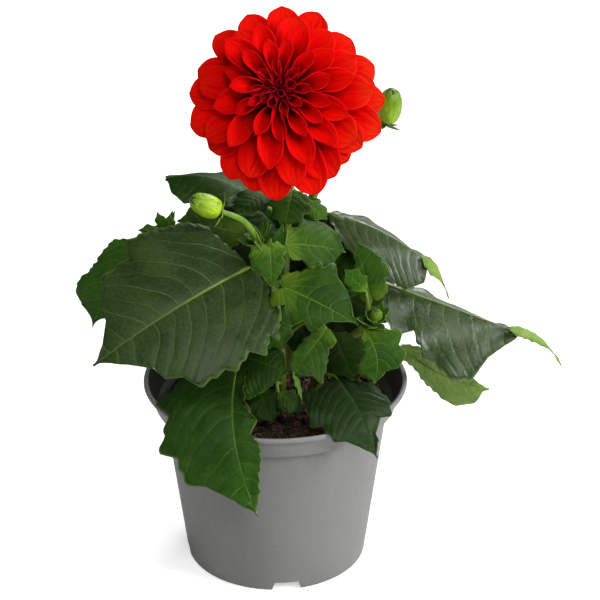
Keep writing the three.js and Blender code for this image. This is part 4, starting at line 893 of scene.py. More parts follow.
stems = {
    "leafy_stem_main": {
        "points": [(2, 6, 46), (2, 6, 82), (3, 8, 120), (5, 11, 160), (7.5, 13, 190), (7.4, 8, 208),
                   (6.07, -2.1, 217.45)],
        "radii": [3.4, 3.2, 2.8, 2.5, 2.2, 2.1, 2.1],
        "leaves": [
            {"base": (8, -1, 180.4), "tip": (5, -16, 169.5), "up": (0, -0.6, 0.8), "bow": 2,
             "width": 10.5, "teeth": 3, "stalk": [(7, 12, 182), (8, 6, 183)], "tone": 0.5},
            {"base": (13, 2, 173.5), "tip": (23, -4, 167.5), "up": (0.3, -0.5, 0.8), "bow": 1,
             "width": 6, "teeth": 2, "stalk": [(6.5, 12, 178)]},
            {"base": (-4, 4, 176), "tip": (-16, -8, 172), "up": (-0.1, -0.5, 0.9), "bow": 2,
             "width": 9, "teeth": 3, "stalk": [(6, 11.5, 170), (1, 8, 175)], "tone": 0.45},
            {"base": (8, 15, 172), "tip": (15, 20, 145), "up": (0, -0.95, 0.2), "bow": 1,
             "width": 13, "teeth": 3, "stalk": [(6, 12, 166)], "tone": 0.4},
            {"base": (2, 16, 152), "tip": (3, 21, 120), "up": (0, -0.95, 0.2), "bow": 1,
             "width": 17, "teeth": 3, "stalk": [(5, 11, 152)], "tone": 0.35},
            {"base": (7, 2, 126), "tip": (18, -11, 101), "up": (0, -0.8, 0.6), "bow": 2,
             "width": 12, "teeth": 3, "stalk": [(3, 8, 119)], "tone": 0.4},
            {"base": (-8, 16, 122), "tip": (-40, 30, 112), "up": (-0.1, 0.2, 1), "bow": 4,
             "width": 14, "teeth": 3, "stalk": [(3, 8, 112)], "tone": 0.7},
        ],
        "tufts": [],
    },
    "leafy_stem_left": {
        "points": [(-9, 0, 48), (-10, -2, 82), (-10.5, -6, 112), (-8.5, -11, 140), (-6.5, -16, 160),
                   (-13, -21, 174), (-22.4, -26.9, 181.3)],
        "radii": [2.7, 2.6, 2.3, 2, 1.8, 1.4, 1.1],
        "leaves": [
            {"base": (-13, -9, 163), "tip": (-42, -11, 170), "up": (0, -0.6, 0.8), "bow": 1,
             "width": 14, "teeth": 3, "stalk": [(-7, -15, 156), (-9, -11, 161)], "tone": 0.4},
            {"base": (-10, -4, 158), "tip": (-27, 6, 141), "up": (0, -0.8, 0.6), "bow": 1,
             "width": 12, "teeth": 3, "stalk": [(-9, -10, 145)], "tone": 0.35},
            {"base": (-14, -2, 126), "tip": (-30, -2, 104), "up": (0, -0.8, 0.6), "bow": 1,
             "width": 12, "teeth": 3, "stalk": [(-10.5, -6, 112)], "tone": 0.4},
        ],
        "tufts": [
            {"at": (-6.5, -17, 164), "axis": (0.1, -0.5, 0.8), "count": 7, "length": 8,
             "width": 1.7, "spread": 78, "seed": 29},
            {"at": (-6.5, -16, 161), "axis": (-0.5, -0.6, 0.8), "count": 4, "length": 9,
             "width": 2.2, "spread": 50, "seed": 3},
            {"at": (-22.3, -26.8, 181.2), "axis": (-12.2, -3, 6.8), "count": 5, "length": 7,
             "width": 1.1, "spread": 82, "inner": 1, "seed": 4},
        ],
    },
    "leafy_stem_far_left": {
        "points": [(-15, 6, 50), (-17, 6, 82), (-30, 2, 118), (-42, -4, 146), (-47, -9, 162)],
        "radii": [2, 2, 1.7, 1.4, 1.1],
        "leaves": [
            {"base": (-47, -10, 163), "tip": (-59, -12, 166), "up": (0, -0.6, 0.8), "bow": 1,
             "width": 4, "teeth": 2, "stalk": [(-46.5, -8.5, 160)], "stalk_radius": 0.8},
            {"base": (-47.5, -9.5, 164), "tip": (-50.7, -10, 173.8), "up": (0, -0.9, 0.3),
             "bow": 1, "width": 2.6, "teeth": 2, "stalk_radius": 0.6},
            {"base": (-46.5, -9.5, 163.5), "tip": (-45, -11, 173), "up": (0, -0.9, 0.3),
             "bow": 1, "width": 3.4, "teeth": 2, "stalk_radius": 0.6},
            {"base": (-46, -10, 162.5), "tip": (-40.5, -12, 168.5), "up": (0, -0.8, 0.5),
             "bow": 1, "width": 3, "teeth": 2, "stalk_radius": 0.6},
        ],
        "tufts": [
            {"at": (-47.5, -9, 162.5), "axis": (-0.3, -0.1, 1), "count": 5, "length": 10,
             "width": 2.6, "spread": 66, "seed": 5},
        ],
    },
    "leafy_stem_right": {
        "points": [(14, 0, 48), (17, -2, 82), (27, -8, 104), (38, -13, 118), (44, -18, 125)],
        "radii": [2.6, 2.5, 2.1, 1.8, 1.6],
        "leaves": [
            {"base": (42.5, -13, 134), "tip": (36, -14, 161), "up": (0, -0.95, 0.2), "bow": 2,
             "width": 10,
             "left": [(-3, 2), (3, 4), (7, 5), (11, 5), (15, 4), (19, 3), (24, 2), (29, 0.4)],
             "right": [(-3, 3), (2, 8), (9, 8), (11, 11), (16, 9), (20, 8), (25, 4), (29, 0.4)],
             "stalk": [(39, -13.5, 119), (41, -12, 126)], "tone": 0.6},
            {"base": (40, -18, 140), "tip": (30.5, -20, 151), "up": (0, -0.9, 0.4), "bow": 1,
             "width": 5, "teeth": 2, "stalk": [(40, -14.5, 120), (41, -15.5, 131)]},
            {"base": (39, -23, 123), "tip": (44, -36, 104), "up": (0, -0.8, 0.6), "bow": 3,
             "sway": -3, "width": 13,
             "left": [(1, 2), (5, 9), (8, 14), (11, 11), (15, 13), (19, 9), (20, 4), (26, 0.4)],
             "right": [(1, 1), (4, 3), (9, 5), (10, 4), (15, 7), (23, 8), (23, 5), (26, 0.4)],
             "stalk": [(37, -12.5, 117), (38, -18, 122)], "tone": 0.75},
            {"base": (26, -14, 117), "tip": (36, -15, 93), "up": (0, -0.85, 0.5), "bow": 1,
             "width": 13, "teeth": 3, "stalk": [(27, -8, 104), (26, -10, 112)], "tone": 0.3},
        ],
        "tufts": [
            {"at": (44, -18, 124.5), "axis": (0.1, -0.5, 0.9), "count": 5, "length": 11,
             "width": 2.6, "spread": 52, "inner": 1, "seed": 11},
            {"at": (44, -18, 124.5), "axis": (0.1, -0.5, 0.9), "count": 7, "length": 8.5,
             "width": 3.2, "spread": 34, "inner": 1, "seed": 12},
        ],
    },
    "leafy_stem_back": {
        "points": [(4, 19, 48), (5, 23, 82), (9, 26, 120), (15, 25, 160), (26, 23, 187),
                   (38, 21, 200), (48.6, 20.2, 203.4)],
        "radii": [2.7, 2.6, 2.4, 2.1, 1.6, 1.3, 1.2],
        "leaves": [
            {"base": (20, 34, 150), "tip": (30, 52, 142), "up": (0, 0.2, 1), "bow": 3,
             "width": 9, "teeth": 3, "stalk": [(13, 25, 141), (17, 29, 149)]},
            {"base": (18, 22, 157), "tip": (37, 15, 143), "up": (0, -0.8, 0.5), "bow": 1,
             "width": 11, "teeth": 3, "stalk": [(13, 25, 148)], "tone": 0.4},
            {"base": (12, 36, 118), "tip": (30, 62, 108), "up": (0.1, 0.3, 1), "bow": 4,
             "width": 16, "teeth": 4, "stalk": [(8, 26, 108)], "tone": 0.8},
            {"base": (-2, 32, 112), "tip": (-32, 56, 96), "up": (-0.1, 0.4, 1), "bow": 4,
             "width": 15, "teeth": 4, "stalk": [(7, 25, 102)], "tone": 0.7},
            {"base": (16, 27, 138), "tip": (42, 33, 128), "up": (0.1, 0.2, 1), "bow": 3,
             "width": 12, "teeth": 3, "stalk": [(11, 26, 130)], "tone": 0.7},
        ],
        "tufts": [
            {"at": (10, 25.8, 126), "axis": (0.6, 0.8, 0.5), "count": 4, "length": 12,
             "width": 3, "spread": 50, "seed": 17},
            {"at": (48.5, 20.2, 203.2), "axis": (0.16, -0.05, 1), "count": 4, "length": 6,
             "width": 1.4, "spread": 100, "inner": 1, "seed": 8},
        ],
    },
    "leafy_stem_front": {
        "points": [(3, -11, 48), (3, -14, 82), (2.5, -19, 112), (1, -25, 136), (-1.5, -28.5, 160)],
        "radii": [2.3, 2.2, 2, 1.7, 1.2],
        "leaves": [
            {"base": (-1.5, -33, 168), "tip": (-0.5, -41, 150), "up": (0, -0.85, 0.5), "bow": 1.5,
             "width": 9, "left": [(-2, 3), (3, 7), (5, 5), (8, 6), (13, 3), (19, 0.4)],
             "right": [(-2, 5), (1, 8), (5, 9), (9, 7), (14, 3), (19, 0.4)],
             "stalk": [(-1, -28.2, 158), (-1.5, -31, 166)], "tone": 0.8},
            {"base": (5, -25, 165), "tip": (31, -15, 157), "up": (0, -0.6, 0.8), "bow": 2,
             "width": 14,
             "left": [(0, 4), (3, 9), (6, 8), (11, 14), (15, 13), (22, 14), (25, 9), (29, 0.4)],
             "right": [(0, 4), (3, 8), (6, 7), (11, 11), (14, 9), (20, 10), (23, 5), (29, 0.4)],
             "stalk": [(-1, -28, 156)], "tone": 0.65},
            {"base": (4.5, -35, 149.5), "tip": (36, -43, 135.5), "up": (0.1, -0.8, 0.6),
             "bow": 3, "width": 18,
             "left": [(-4, 4), (3, 9), (9, 17), (11, 15), (15, 20), (19, 14), (26, 10),
                      (36, 0.4)],
             "right": [(-4, 5), (-1, 10), (4, 7), (11, 14), (14, 10), (20, 12), (24, 5),
                       (36, 0.4)],
             "stalk": [(1, -26.8, 146), (3, -31, 150.5)], "tone": 0.58},
            {"base": (23, -31, 128), "tip": (9, -46, 114), "up": (0, -0.75, 0.65), "bow": 2,
             "width": 12,
             "left": [(0, 2), (4, 7), (8, 6), (14, 9), (23, 12), (22, 7), (25, 3), (27, 0.4)],
             "right": [(0, 1), (4, 3), (8, 4), (12, 5), (16, 5), (20, 5), (24, 3), (27, 0.4)],
             "stalk": [(2.2, -20, 116), (14, -23, 127)], "tone": 0.6,
             "leaflets": [
                 drawn_tip([(0, 0.8), (3, 1.7), (7, 1.4), (11, 0.7), (15.6, 0.3)],
                           base=(8.6, -45.6, 114.6), tip=(12.1, -47, 99.4), up=(0.8, -0.5, 0.1),
                           bow=0.6, width=1.7, finishes=(2, 2, 0)),
             ]},
            {"base": (0, -18, 143), "tip": (-5, -18, 122), "up": (0, -0.8, 0.6), "bow": 1,
             "width": 8, "teeth": 2, "stalk": [(1, -25, 138), (1, -21, 143)], "tone": 0.35},
            {"base": (2, -36, 99), "tip": (12, -42, 93), "up": (0, -0.5, 0.8), "bow": 1,
             "width": 6, "teeth": 2, "stalk": [(3, -16, 93), (1, -28, 99)], "tone": 0.35},
            {"base": (-7, -30, 98), "tip": (-1, -41, 87), "up": (0, -0.75, 0.6), "bow": 1,
             "width": 8, "teeth": 3, "stalk": [(3, -15, 90), (-3, -23, 98)], "tone": 0.4},
        ],
        "tufts": [
            {"at": (-1.5, -28.5, 159), "axis": (0.2, 0, 1), "count": 6, "length": 15,
             "width": 3, "spread": 50, "seed": 23},
        ],
    },
}


# Turns a vector about an axis through the origin.
def turn_about(vector, axis, angle):
    return np.array(Matrix.Rotation(angle, 3, Vector(axis)) @ Vector(vector))


GOLDEN_DEGREES = 137.5


# A tuft of narrow young leaves that spread from one point round an axis.
def add_tuft(shape, tuft):
    draw = make_draw(tuft["seed"])
    axis = unit(np.array(tuft["axis"], float))
    aside = unit(np.cross((1.0, 0.0, 0.0), axis))
    centre = np.array(tuft["at"], float)
    width = tuft["width"]
    inner = tuft.get("inner", 0.55)
    for k in range(tuft["count"]):
        heading = turn_about(aside, axis, (k + 0.3 * next(draw)) * math.radians(GOLDEN_DEGREES))
        lean = math.radians(tuft["spread"] * (inner + (1 - inner) * k / tuft["count"]))
        way = axis * math.cos(lean) + heading * math.sin(lean)
        length = tuft["length"] * (1 + 0.2 * next(draw))
        outline = [(0, width * 0.4), (length * 0.2, width * 0.8), (length * 0.45, width),
                   (length * 0.75, width * 0.6), (length, 0.2)]
        add_leaf(shape, {
            "base": centre + way * 0.4, "tip": centre + way * length,
            "up": axis * math.sin(lean) - heading * math.cos(lean), "bow": -length * 0.06,
            "width": width, "left": outline, "right": outline, "fold": (14, 10), "cup": (0, 0),
            "stalk_radius": 0.7, "ripple": 0.3,
        }, (1, 2, 0), YOUNG_LEAF_PAIRS, 5, 5, 0.04)


for name, stem in stems.items():
    shape = new_shape()
    add_rod(shape, stem["points"], stem["radii"], 20, 10, 0, 0.035, 6)
    for leaf in stem["leaves"]:
        add_leaf(shape, {"stalk_radius": 1.0, **leaf}, (1, 2, 0), YOUNG_LEAF_PAIRS, 9, 10)
    for tuft in stem["tufts"]:
        add_tuft(shape, tuft)
    make_piece(name + "_grown", shape, [stem_skin, young_leaf_top, young_leaf_under],
               name)


# The large leaves are firm, dark green and slightly glossy above, paler below, with a
# toothed edge. Each hangs from a stalk that grows out of a stem and runs on as its midrib.
LEAF_PAIRS = 9.0
leaf_top = leaf_material(
    "leaf_top", greens=((0.012, 0.032, 0.003, 1.0), (0.028, 0.058, 0.008, 1.0)),
    vein=(0.115, 0.185, 0.04, 1.0), rim=(0.09, 0.15, 0.03, 1.0), roughness=0.42,
    pairs=LEAF_PAIRS, vein_share=0.55, through=0.12, relief=0.0002, shine=0.2, net_share=0.16)
glossy_leaf_top = leaf_material(
    "glossy_leaf_top", greens=((0.009, 0.026, 0.002, 1.0), (0.026, 0.055, 0.006, 1.0)),
    vein=(0.13, 0.2, 0.06, 1.0), rim=(0.13, 0.19, 0.06, 1.0), roughness=0.34,
    pairs=LEAF_PAIRS, vein_share=0.5, through=0.08, relief=0.0002, shine=0.45, net_share=0.2)
fresh_leaf_top = leaf_material(
    "fresh_leaf_top", greens=((0.012, 0.05, 0.0015, 1.0), (0.03, 0.1, 0.004, 1.0)),
    vein=(0.11, 0.24, 0.015, 1.0), rim=(0.14, 0.24, 0.04, 1.0), roughness=0.46,
    pairs=LEAF_PAIRS, vein_share=0.45, through=0.18, relief=0.0002, shine=0.15, net_share=0.16)
leaf_under = leaf_material(
    "leaf_under", greens=((0.12, 0.23, 0.025, 1.0), (0.26, 0.4, 0.07, 1.0)),
    vein=(0.4, 0.54, 0.15, 1.0), rim=(0.14, 0.12, 0.05, 1.0), roughness=0.55,
    pairs=LEAF_PAIRS, vein_share=0.8, through=0.2, relief=0.0003, shine=0.3)
FRESH_LEAVES = ("leaf_far_left", "leaf_upper_left", "leaf_low_front", "leaf_front_right",
                "leaf_inner_left", "leaf_inner_right", "leaf_inner_front", "leaf_back_high")
GLOSSY_LEAVES = ("leaf_upper_right", "leaf_right")

leaves = {
    "leaf_front_left": {
        "base": (-10.4, -25, 154.5), "tip": (-76, -60, 124.6), "up": (-0.12, -0.76, 0.64),
        "bow": 6, "width": 38, "fold": (4, 4), "cup": (-12, -24),
        "left": [(0, 5), (3, 26), (9, 35), (11, 31), (18, 38), (23, 33), (33, 37), (36, 34),
                 (50, 34), (53, 27), (60, 23), (61, 17), (69, 9), (81, 0.4)],
        "right": [(1, 5), (4, 15), (6, 26), (12, 32), (20, 35), (28, 37), (39, 39), (42, 32),
                  (58, 30), (59, 26), (65, 20), (66, 13), (73, 5), (81, 0.4)],
        "stalk": [(-9.6, -8.5, 130), (-11, -17, 144)], "stalk_radius": 1.6, "ripple": 0.5,
        "sweep": 0.15, "tone": 0.78,
    },
    "leaf_far_left": {
        "base": (-60.5, 4, 153), "tip": (-82, -4, 115), "up": (-0.3, -0.85, 0.4), "bow": 4,
        "width": 17, "fold": (-2, -6), "cup": (-16, -26),
        "left": [(0, 4), (5, 8), (9, 7), (15, 10), (21, 8), (27, 9), (35, 6), (43, 0.4)],
        "right": [(1, 5), (5, 11), (12, 13), (17, 12), (24, 15), (30, 17), (38, 17), (43, 0.4)],
        "stalk": [(-10.5, -6, 118), (-32, 2, 142)],
    },
    "leaf_upper_left": {
        "base": (-8, 9, 171.5), "tip": (-47, 9, 182), "up": (0.05, -0.2, 1), "bow": 5.8,
        "width": 19, "fold": (-6, -24), "cup": (-15, -34),
        "left": [(0, 2), (9, 13), (14, 12), (22, 17), (29, 14), (36, 13), (41, 8), (44, 0.4)],
        "right": [(0, 2), (8, 12), (13, 15), (22, 18), (30, 17), (38, 15), (43, 9), (44, 0.4)],
        "stalk": [(4.5, 10.5, 157), (0, 10, 165)], "tone": 0.62,
    },
    "leaf_low_front": {
        "base": (-15, -27, 112.5), "tip": (-9.5, -69, 63.5), "up": (-0.12, -0.76, 0.64),
        "bow": 11, "sway": 4, "width": 32, "fold": (4, 4), "cup": (-14, -18),
        "left": [(2, 3), (12, 4), (24, 5), (36, 10), (41, 7), (47, 10), (55, 9), (59, 7),
                 (68, 4), (77, 0.4)],
        "right": [(8, 3), (11, 19), (24, 34), (29, 28), (43, 34), (46, 26), (57, 24), (59, 17),
                  (67, 7), (77, 0.4)],
        "stalk": [(-10, -3, 94), (-13, -14, 106)], "root_shaded_tone": 0.12,
        "leaflets": [
            {"base": (-14, -26, 111.5), "tip": (6, -36, 108.5), "up": (0, -0.7, 0.7), "bow": 2,
             "width": 17,
             "left": [(0, 3), (5, 8), (9, 7), (14, 9), (18, 7), (23, 0.4)],
             "right": [(2, 6), (6, 17), (12, 17), (17, 12), (20, 6), (23, 0.4)],
             "stalk": [(-13, -19, 109)], "stalk_radius": 0.8, "tone": 0.8, "root_shaded_tone": 0.6},
        ],
    },
    "leaf_upper_right": {
        "base": (25, 17, 162), "tip": (69.3, 4, 142.1), "up": (0.1, -0.2, 1), "bow": 4.1,
        "width": 18, "fold": (-16, -30), "cup": (-20, -27),
        "left": [(0, 3), (9, 12), (13, 11), (25, 17), (29, 14), (38, 15), (42, 10), (46, 6),
                 (48, 3), (50, 0.4)],
        "right": [(0, 3), (7, 10), (14, 15), (19, 15), (25, 18), (34, 17), (43, 17), (50, 16),
                  (54, 8), (51, 0.4)],
        "stalk": [(16, 24.3, 152), (19, 21, 159)], "sweep": 0.8,
        "leaflets": [
            drawn_tip([(0, 1.4), (4, 3.2), (9, 3), (13, 0.9), (24.5, 0.3)],
                      base=(66, 3.6, 146.2), tip=(78.2, 3, 125.4), up=(0.7, -0.5, 0.4),
                      bow=2.2, width=3.2, finishes=(1, 1, 2)),
        ],
    },
    "leaf_right": {
        "base": (49, 11, 130), "tip": (109.8, -2.4, 111.4), "up": (0.05, -0.2, 1), "bow": 0.8,
        "width": 34, "fold": (-22, -39), "cup": (-20, -25),
        "left": [(0, 4), (8, 8), (14, 11), (22, 14), (29, 13), (37, 18), (45, 17), (52, 15),
                 (58, 11), (62, 9), (64, 5), (66, 0.4)],
        "right": [(0, 5), (8, 18), (13, 22), (20, 17), (30, 28), (34, 27), (45, 31), (53, 28),
                  (56, 16), (61, 8), (64, 4), (66, 0.4)],
        "stalk": [(9, 26, 118), (28, 20, 127)], "stalk_radius": 1.6, "sweep": 0.9,
        "leaflets": [
            drawn_tip([(0, 1.4), (5, 2.8), (12, 2.4), (17, 0.9), (32, 0.3)],
                      base=(105.5, -3.6, 114.4), tip=(129.6, -5, 95.4), up=(0.5, -0.45, 0.75),
                      bow=5, width=2.8, finishes=(1, 1, 2)),
        ],
    },
    "leaf_right_low": {
        "base": (56.5, 4, 101.5), "tip": (98, 2, 80.5), "up": (0.35, 0.9, 0), "bow": 2,
        "sway": -5, "width": 14, "fold": (6, 6), "cup": (10, 10),
        "left": [(0, 2), (8, 4), (16, 6), (24, 10), (32, 15), (38, 15), (43, 12), (48, 0.4)],
        "right": [(0, 2), (8, 6), (16, 9), (24, 9), (32, 7), (38, 5), (43, 2), (48, 0.4)],
        "stalk": [(23, -5, 97), (40, 1, 102)],
    },
    "leaf_front_right": {
        "base": (26, -24, 101.5), "tip": (44, -57, 80), "up": (0.17, -0.62, 0.76), "bow": 7,
        "width": 21, "fold": (6, 0), "cup": (-10, -20),
        "left": [(4, 2), (12, 7), (16, 12), (24, 15), (33, 13), (32, 8), (36, 5), (38, 3),
                 (42, 2), (48, 0.4)],
        "right": [(4, 3), (7, 10), (7, 19), (14, 20), (25, 22), (26, 18), (36, 15), (37, 11),
                  (41, 6), (48, 0.4)],
        "stalk": [(17, -2.5, 84), (22, -14, 96)], "tone": 0.44, "root_shaded_tone": 0.15,
    },
    "leaf_inner_left": {
        "base": (0, 7, 131), "tip": (-31, 9, 140), "up": (0, -0.75, 0.65), "bow": 3,
        "width": 15, "teeth": 3, "fold": (0, -8), "cup": (-10, -20),
        "stalk": [(3, 8, 114), (1, 7.5, 125)],
    },
    "leaf_inner_right": {
        "base": (10, 14, 130), "tip": (40, 8, 141), "up": (0, -0.7, 0.7), "bow": 2,
        "width": 18, "teeth": 3, "fold": (0, -8), "cup": (-10, -20),
        "stalk": [(3, 8, 116), (6, 12, 124)],
    },
    "leaf_inner_front": {
        "base": (-7, -18, 133), "tip": (4, -31, 118), "up": (0, -0.75, 0.65), "bow": 2,
        "width": 12, "teeth": 3, "depth": 0.16, "fold": (0, -8), "cup": (-10, -20),
        "stalk": [(-10.4, -5, 106), (-9.5, -12, 121)],
    },
    "leaf_back_left": {
        "base": (-24, 30, 128), "tip": (-66, 58, 110), "up": (-0.1, 0.25, 1), "bow": 6,
        "width": 24, "teeth": 3, "depth": 0.15, "fold": (-4, -16), "cup": (-20, -30),
        "stalk": [(2, 6.5, 108), (-10, 18, 122)],
    },
    "leaf_back": {
        "base": (2, 46, 130), "tip": (-10, 96, 104), "up": (0, 0.35, 1), "bow": 7,
        "width": 27, "teeth": 3, "depth": 0.18, "fold": (-2, -14), "cup": (-20, -30),
        "stalk": [(8, 26, 112), (5, 36, 124)],
    },
    "leaf_back_right": {
        "base": (18, 30, 102), "tip": (56, 40, 122), "up": (0.1, -0.7, 0.7), "bow": 3,
        "width": 22, "teeth": 4, "fold": (4, 0), "cup": (-10, -20),
        "stalk": [(6, 24, 90), (12, 30, 98)],
    },
    "leaf_back_high": {
        "base": (4, 18, 150), "tip": (-24, 40, 168), "up": (0.2, -0.6, 0.8), "bow": 3,
        "width": 21, "teeth": 4, "fold": (6, 0), "cup": (-10, -20),
        "stalk": [(4, 10, 136), (4, 14, 145)],
    },
}

for name, leaf in leaves.items():
    shape = new_shape()
    add_leaf(shape, leaf, (0, 1, 2), LEAF_PAIRS, 18, 12)
    if name in GLOSSY_LEAVES:
        upper = glossy_leaf_top
    elif name in FRESH_LEAVES:
        upper = fresh_leaf_top
    else:
        upper = leaf_top
    make_piece(name + "_grown", shape, [upper, leaf_under, stem_skin], name)


# The bloom is double: rings of soft red petals on a small domed heart, spread flat outside
# and rolled into upright tubes inside. It sits on a green cup whose bracts bend back.
BLOOM_CENTRE = (5.2, -12, 223.4)
BLOOM_AXIS = (-0.075, -0.854, 0.515)
BLOOM_HEART = 8.5
DEEP_RED = ((0.09, 0.0003, 0.001, 1.0), (0.66, 0.0005, 0.0005, 1.0))
BRIGHT_RED = ((0.2, 0.0005, 0.002, 1.0), (0.93, 0.003, 0.001, 1.0))
INNER_CRIMSON_AND_SHADE = (0.13, 0.0005, 0.006, 1.0)
RIM_REDS = ((0.85, 0.008, 0.012, 1.0), (0.6, 0.004, 0.035, 1.0))
PAINTED_LIGHT_ORANGE = (0.9, 0.06, 0.012, 1.0)

# The petals are deep red at the root and bright at the tip, with streaks along them. The inner
# rings are darker, partly their own crimson and partly painted shade, and the rims stand out.
# The outer tips on the right side get painted light: they turn orange where light falls on them.
petal_red, tree, shader = new_material("petal_red")
blade_map = map_place(tree, "blade")
blade_parts = split(tree, blade_map)
edge_parts = split(tree, map_place(tree, "edge"))
streaks = mottle(tree, stretched(tree, blade_map, (0.8, 16.0, 1.0)), coarse=1.4, fine=4.0,
                 fine_share=0.45)
along = step_between(tree, blade_parts[0], 0.05, 0.8)
deep = mix_colours(tree, along, DEEP_RED[0], DEEP_RED[1])
bright = mix_colours(tree, along, BRIGHT_RED[0], BRIGHT_RED[1])
red = mix_colours(tree, step_between(tree, streaks, 0.38, 0.62), deep, bright)
# The inner rings are darker: partly their own deeper crimson, partly painted shade deep in the
# bloom.
inner = step_between(tree, edge_parts[1], 0.35, 1.0)
red = mix_colours(tree, times(tree, inner, 0.88), red, INNER_CRIMSON_AND_SHADE)
rim_share = times(tree, step_between(tree, edge_parts[0], 0.92, 1.0), 0.55)
red = mix_colours(tree, rim_share, red, mix_colours(tree, inner, RIM_REDS[0], RIM_REDS[1]))
# Painted light: outer tips on the right side, where light falls on them, are mixed towards orange.
lit_side = step_between(tree, split(tree, object_place(tree))[0], 0.02, 0.046, 0.2, 0.75)
tips = times(tree, step_between(tree, blade_parts[0], 0.72, 1.0), lit_side)
tips = times(tree, tips, step_between(tree, streaks, 0.35, 0.6))
tips = times(tree, tips, step_between(tree, edge_parts[1], 0.1, 0.45, 1.0, 0.0))
red = mix_colours(tree, tips, red, PAINTED_LIGHT_ORANGE)
tree.links.new(red, shader.inputs["Base Color"])
shader.inputs["Roughness"].default_value = 0.6
shader.inputs["Specular IOR Level"].default_value = 0.03
bump_into(tree, shader, streaks, 0.0004)
let_light_through(tree, shader, 0.3, red)

PETAL_THICKNESS = 0.45
PETAL_STEPS = 5
PETAL_COLUMNS = 9
# Half outlines of a petal as shares of its length and width.
OPEN_PETAL = [(0, 0.3), (0.3, 0.78), (0.56, 1), (0.76, 0.95), (0.88, 0.76), (0.95, 0.48),
              (0.985, 0.2), (1, 0.04)]
BOAT_PETAL = [(0, 0.4), (0.3, 0.84), (0.55, 1), (0.75, 0.8), (0.9, 0.42), (0.97, 0.16), (1, 0.04)]
TUBE_PETAL = [(0, 0.7), (0.5, 1), (0.85, 1), (0.95, 0.86), (1, 0.6)]
# How far the bloom's eye lies off its middle.
EYE_OFFSET = (-1.6, 3.4, 0.0)

# Rings of petals from the outside in. Each petal has its own heading in degrees and its own
# reach; "shift" is the share of the eye's offset that the ring's tips follow.
petal_rings = [
    {"angles": [95, 72, 47, 25, 4, -15, -40, -53, -68, -92, -107, -124, -147, -165, 176, 160, 137,
                116, 13, -28],
     "reaches": [42.2, 41.2, 39, 40.6, 42, 42, 36, 37.5, 40.5, 41, 39, 39.5, 37, 41, 40.8, 40,
                 42.4, 41.6, 38.5, 37.5],
     "root": 7.5, "height": 0.8, "width": 8.6, "lift": 3, "bow": 1.5, "cup": (60, 26), "roll": 8,
     "shift": 0.0, "outline": OPEN_PETAL},
    {"angles": [84, 58, 33, 8, -27, -80, -112, -152, 168, 127],
     "reaches": [36, 35, 35, 37, 34, 36, 35, 36, 37, 36],
     "root": 7, "height": 2, "width": 8, "lift": 11, "bow": 1.5, "cup": (90, 40), "roll": 6,
     "shift": 0.05, "outline": OPEN_PETAL},
    {"angles": [110, 75, 45, 18, -13, -38, -66, -97, -135, -170, 156, 137],
     "reaches": [32.5, 32, 29, 31, 28.5, 30, 31, 31, 30, 29, 27, 34],
     "root": 6.5, "height": 3.6, "width": 8, "lift": 25, "bow": 2, "cup": (190, 62), "roll": 5,
     "shift": 0.15, "outline": BOAT_PETAL},
    {"angles": [84, 54, 22, -10, -32, -58, -88, -119, -155, 174, 134, 106],
     "reaches": [23, 22, 21.5, 21, 20.5, 20.5, 20, 20, 20.5, 21.5, 24, 23],
     "root": 5, "height": 5.4, "width": 6.6, "lift": 40, "bow": 2.2, "cup": (260, 100), "roll": 4,
     "shift": 0.3, "outline": BOAT_PETAL},
    {"angles": [100, 48, 0, -36, -72, -147, -172, 140],
     "reaches": [12.8, 12, 13.7, 12, 11.5, 14.5, 12.6, 12],
     "root": 3.8, "height": 7, "width": 5.4, "lift": 54, "bow": 1.6, "cup": (270, 150), "roll": 4,
     "shift": 1.0, "outline": BOAT_PETAL},
    {"angles": [67, -107, -139, 160, 20, -20],
     "reaches": [6.9, 9, 9, 7.1, 7.5, 7],
     "root": 2.4, "height": 8.2, "width": 5.6, "lift": 62, "bow": 0.6, "cup": (180, 168),
     "roll": 3, "shift": 1.0, "outline": TUBE_PETAL},
    {"angles": [90, -60, -160, 10],
     "reaches": [4, 4.4, 4.2, 3.6],
     "root": 1.2, "height": 8.8, "width": 3.8, "lift": 74, "bow": 0.4, "cup": (180, 170),
     "roll": 3, "shift": 1.0, "outline": TUBE_PETAL},
]
bloom_axis = unit(np.array(BLOOM_AXIS, float))
bloom_up = unit(np.array((0, 0, 1.0)) - bloom_axis[2] * bloom_axis)
bloom_frame = np.stack([np.cross(bloom_up, bloom_axis), bloom_up, bloom_axis])


# Turns a shape that was made facing up to where the bloom faces.
def face_bloom(shape):
    shape["points"] = [part @ bloom_frame + np.array(BLOOM_CENTRE) for part in shape["points"]]


def heading_at(degrees):
    turn = math.radians(degrees)
    return np.array((math.cos(turn), math.sin(turn), 0))


UPWARD = np.array((0, 0, 1.0))
EVERY_SECOND_HIGHER = 1.2
KEEL_DEPTH = 0.5
FOLD_HEIGHT = 0.2
PETAL_RIPPLE = 0.6


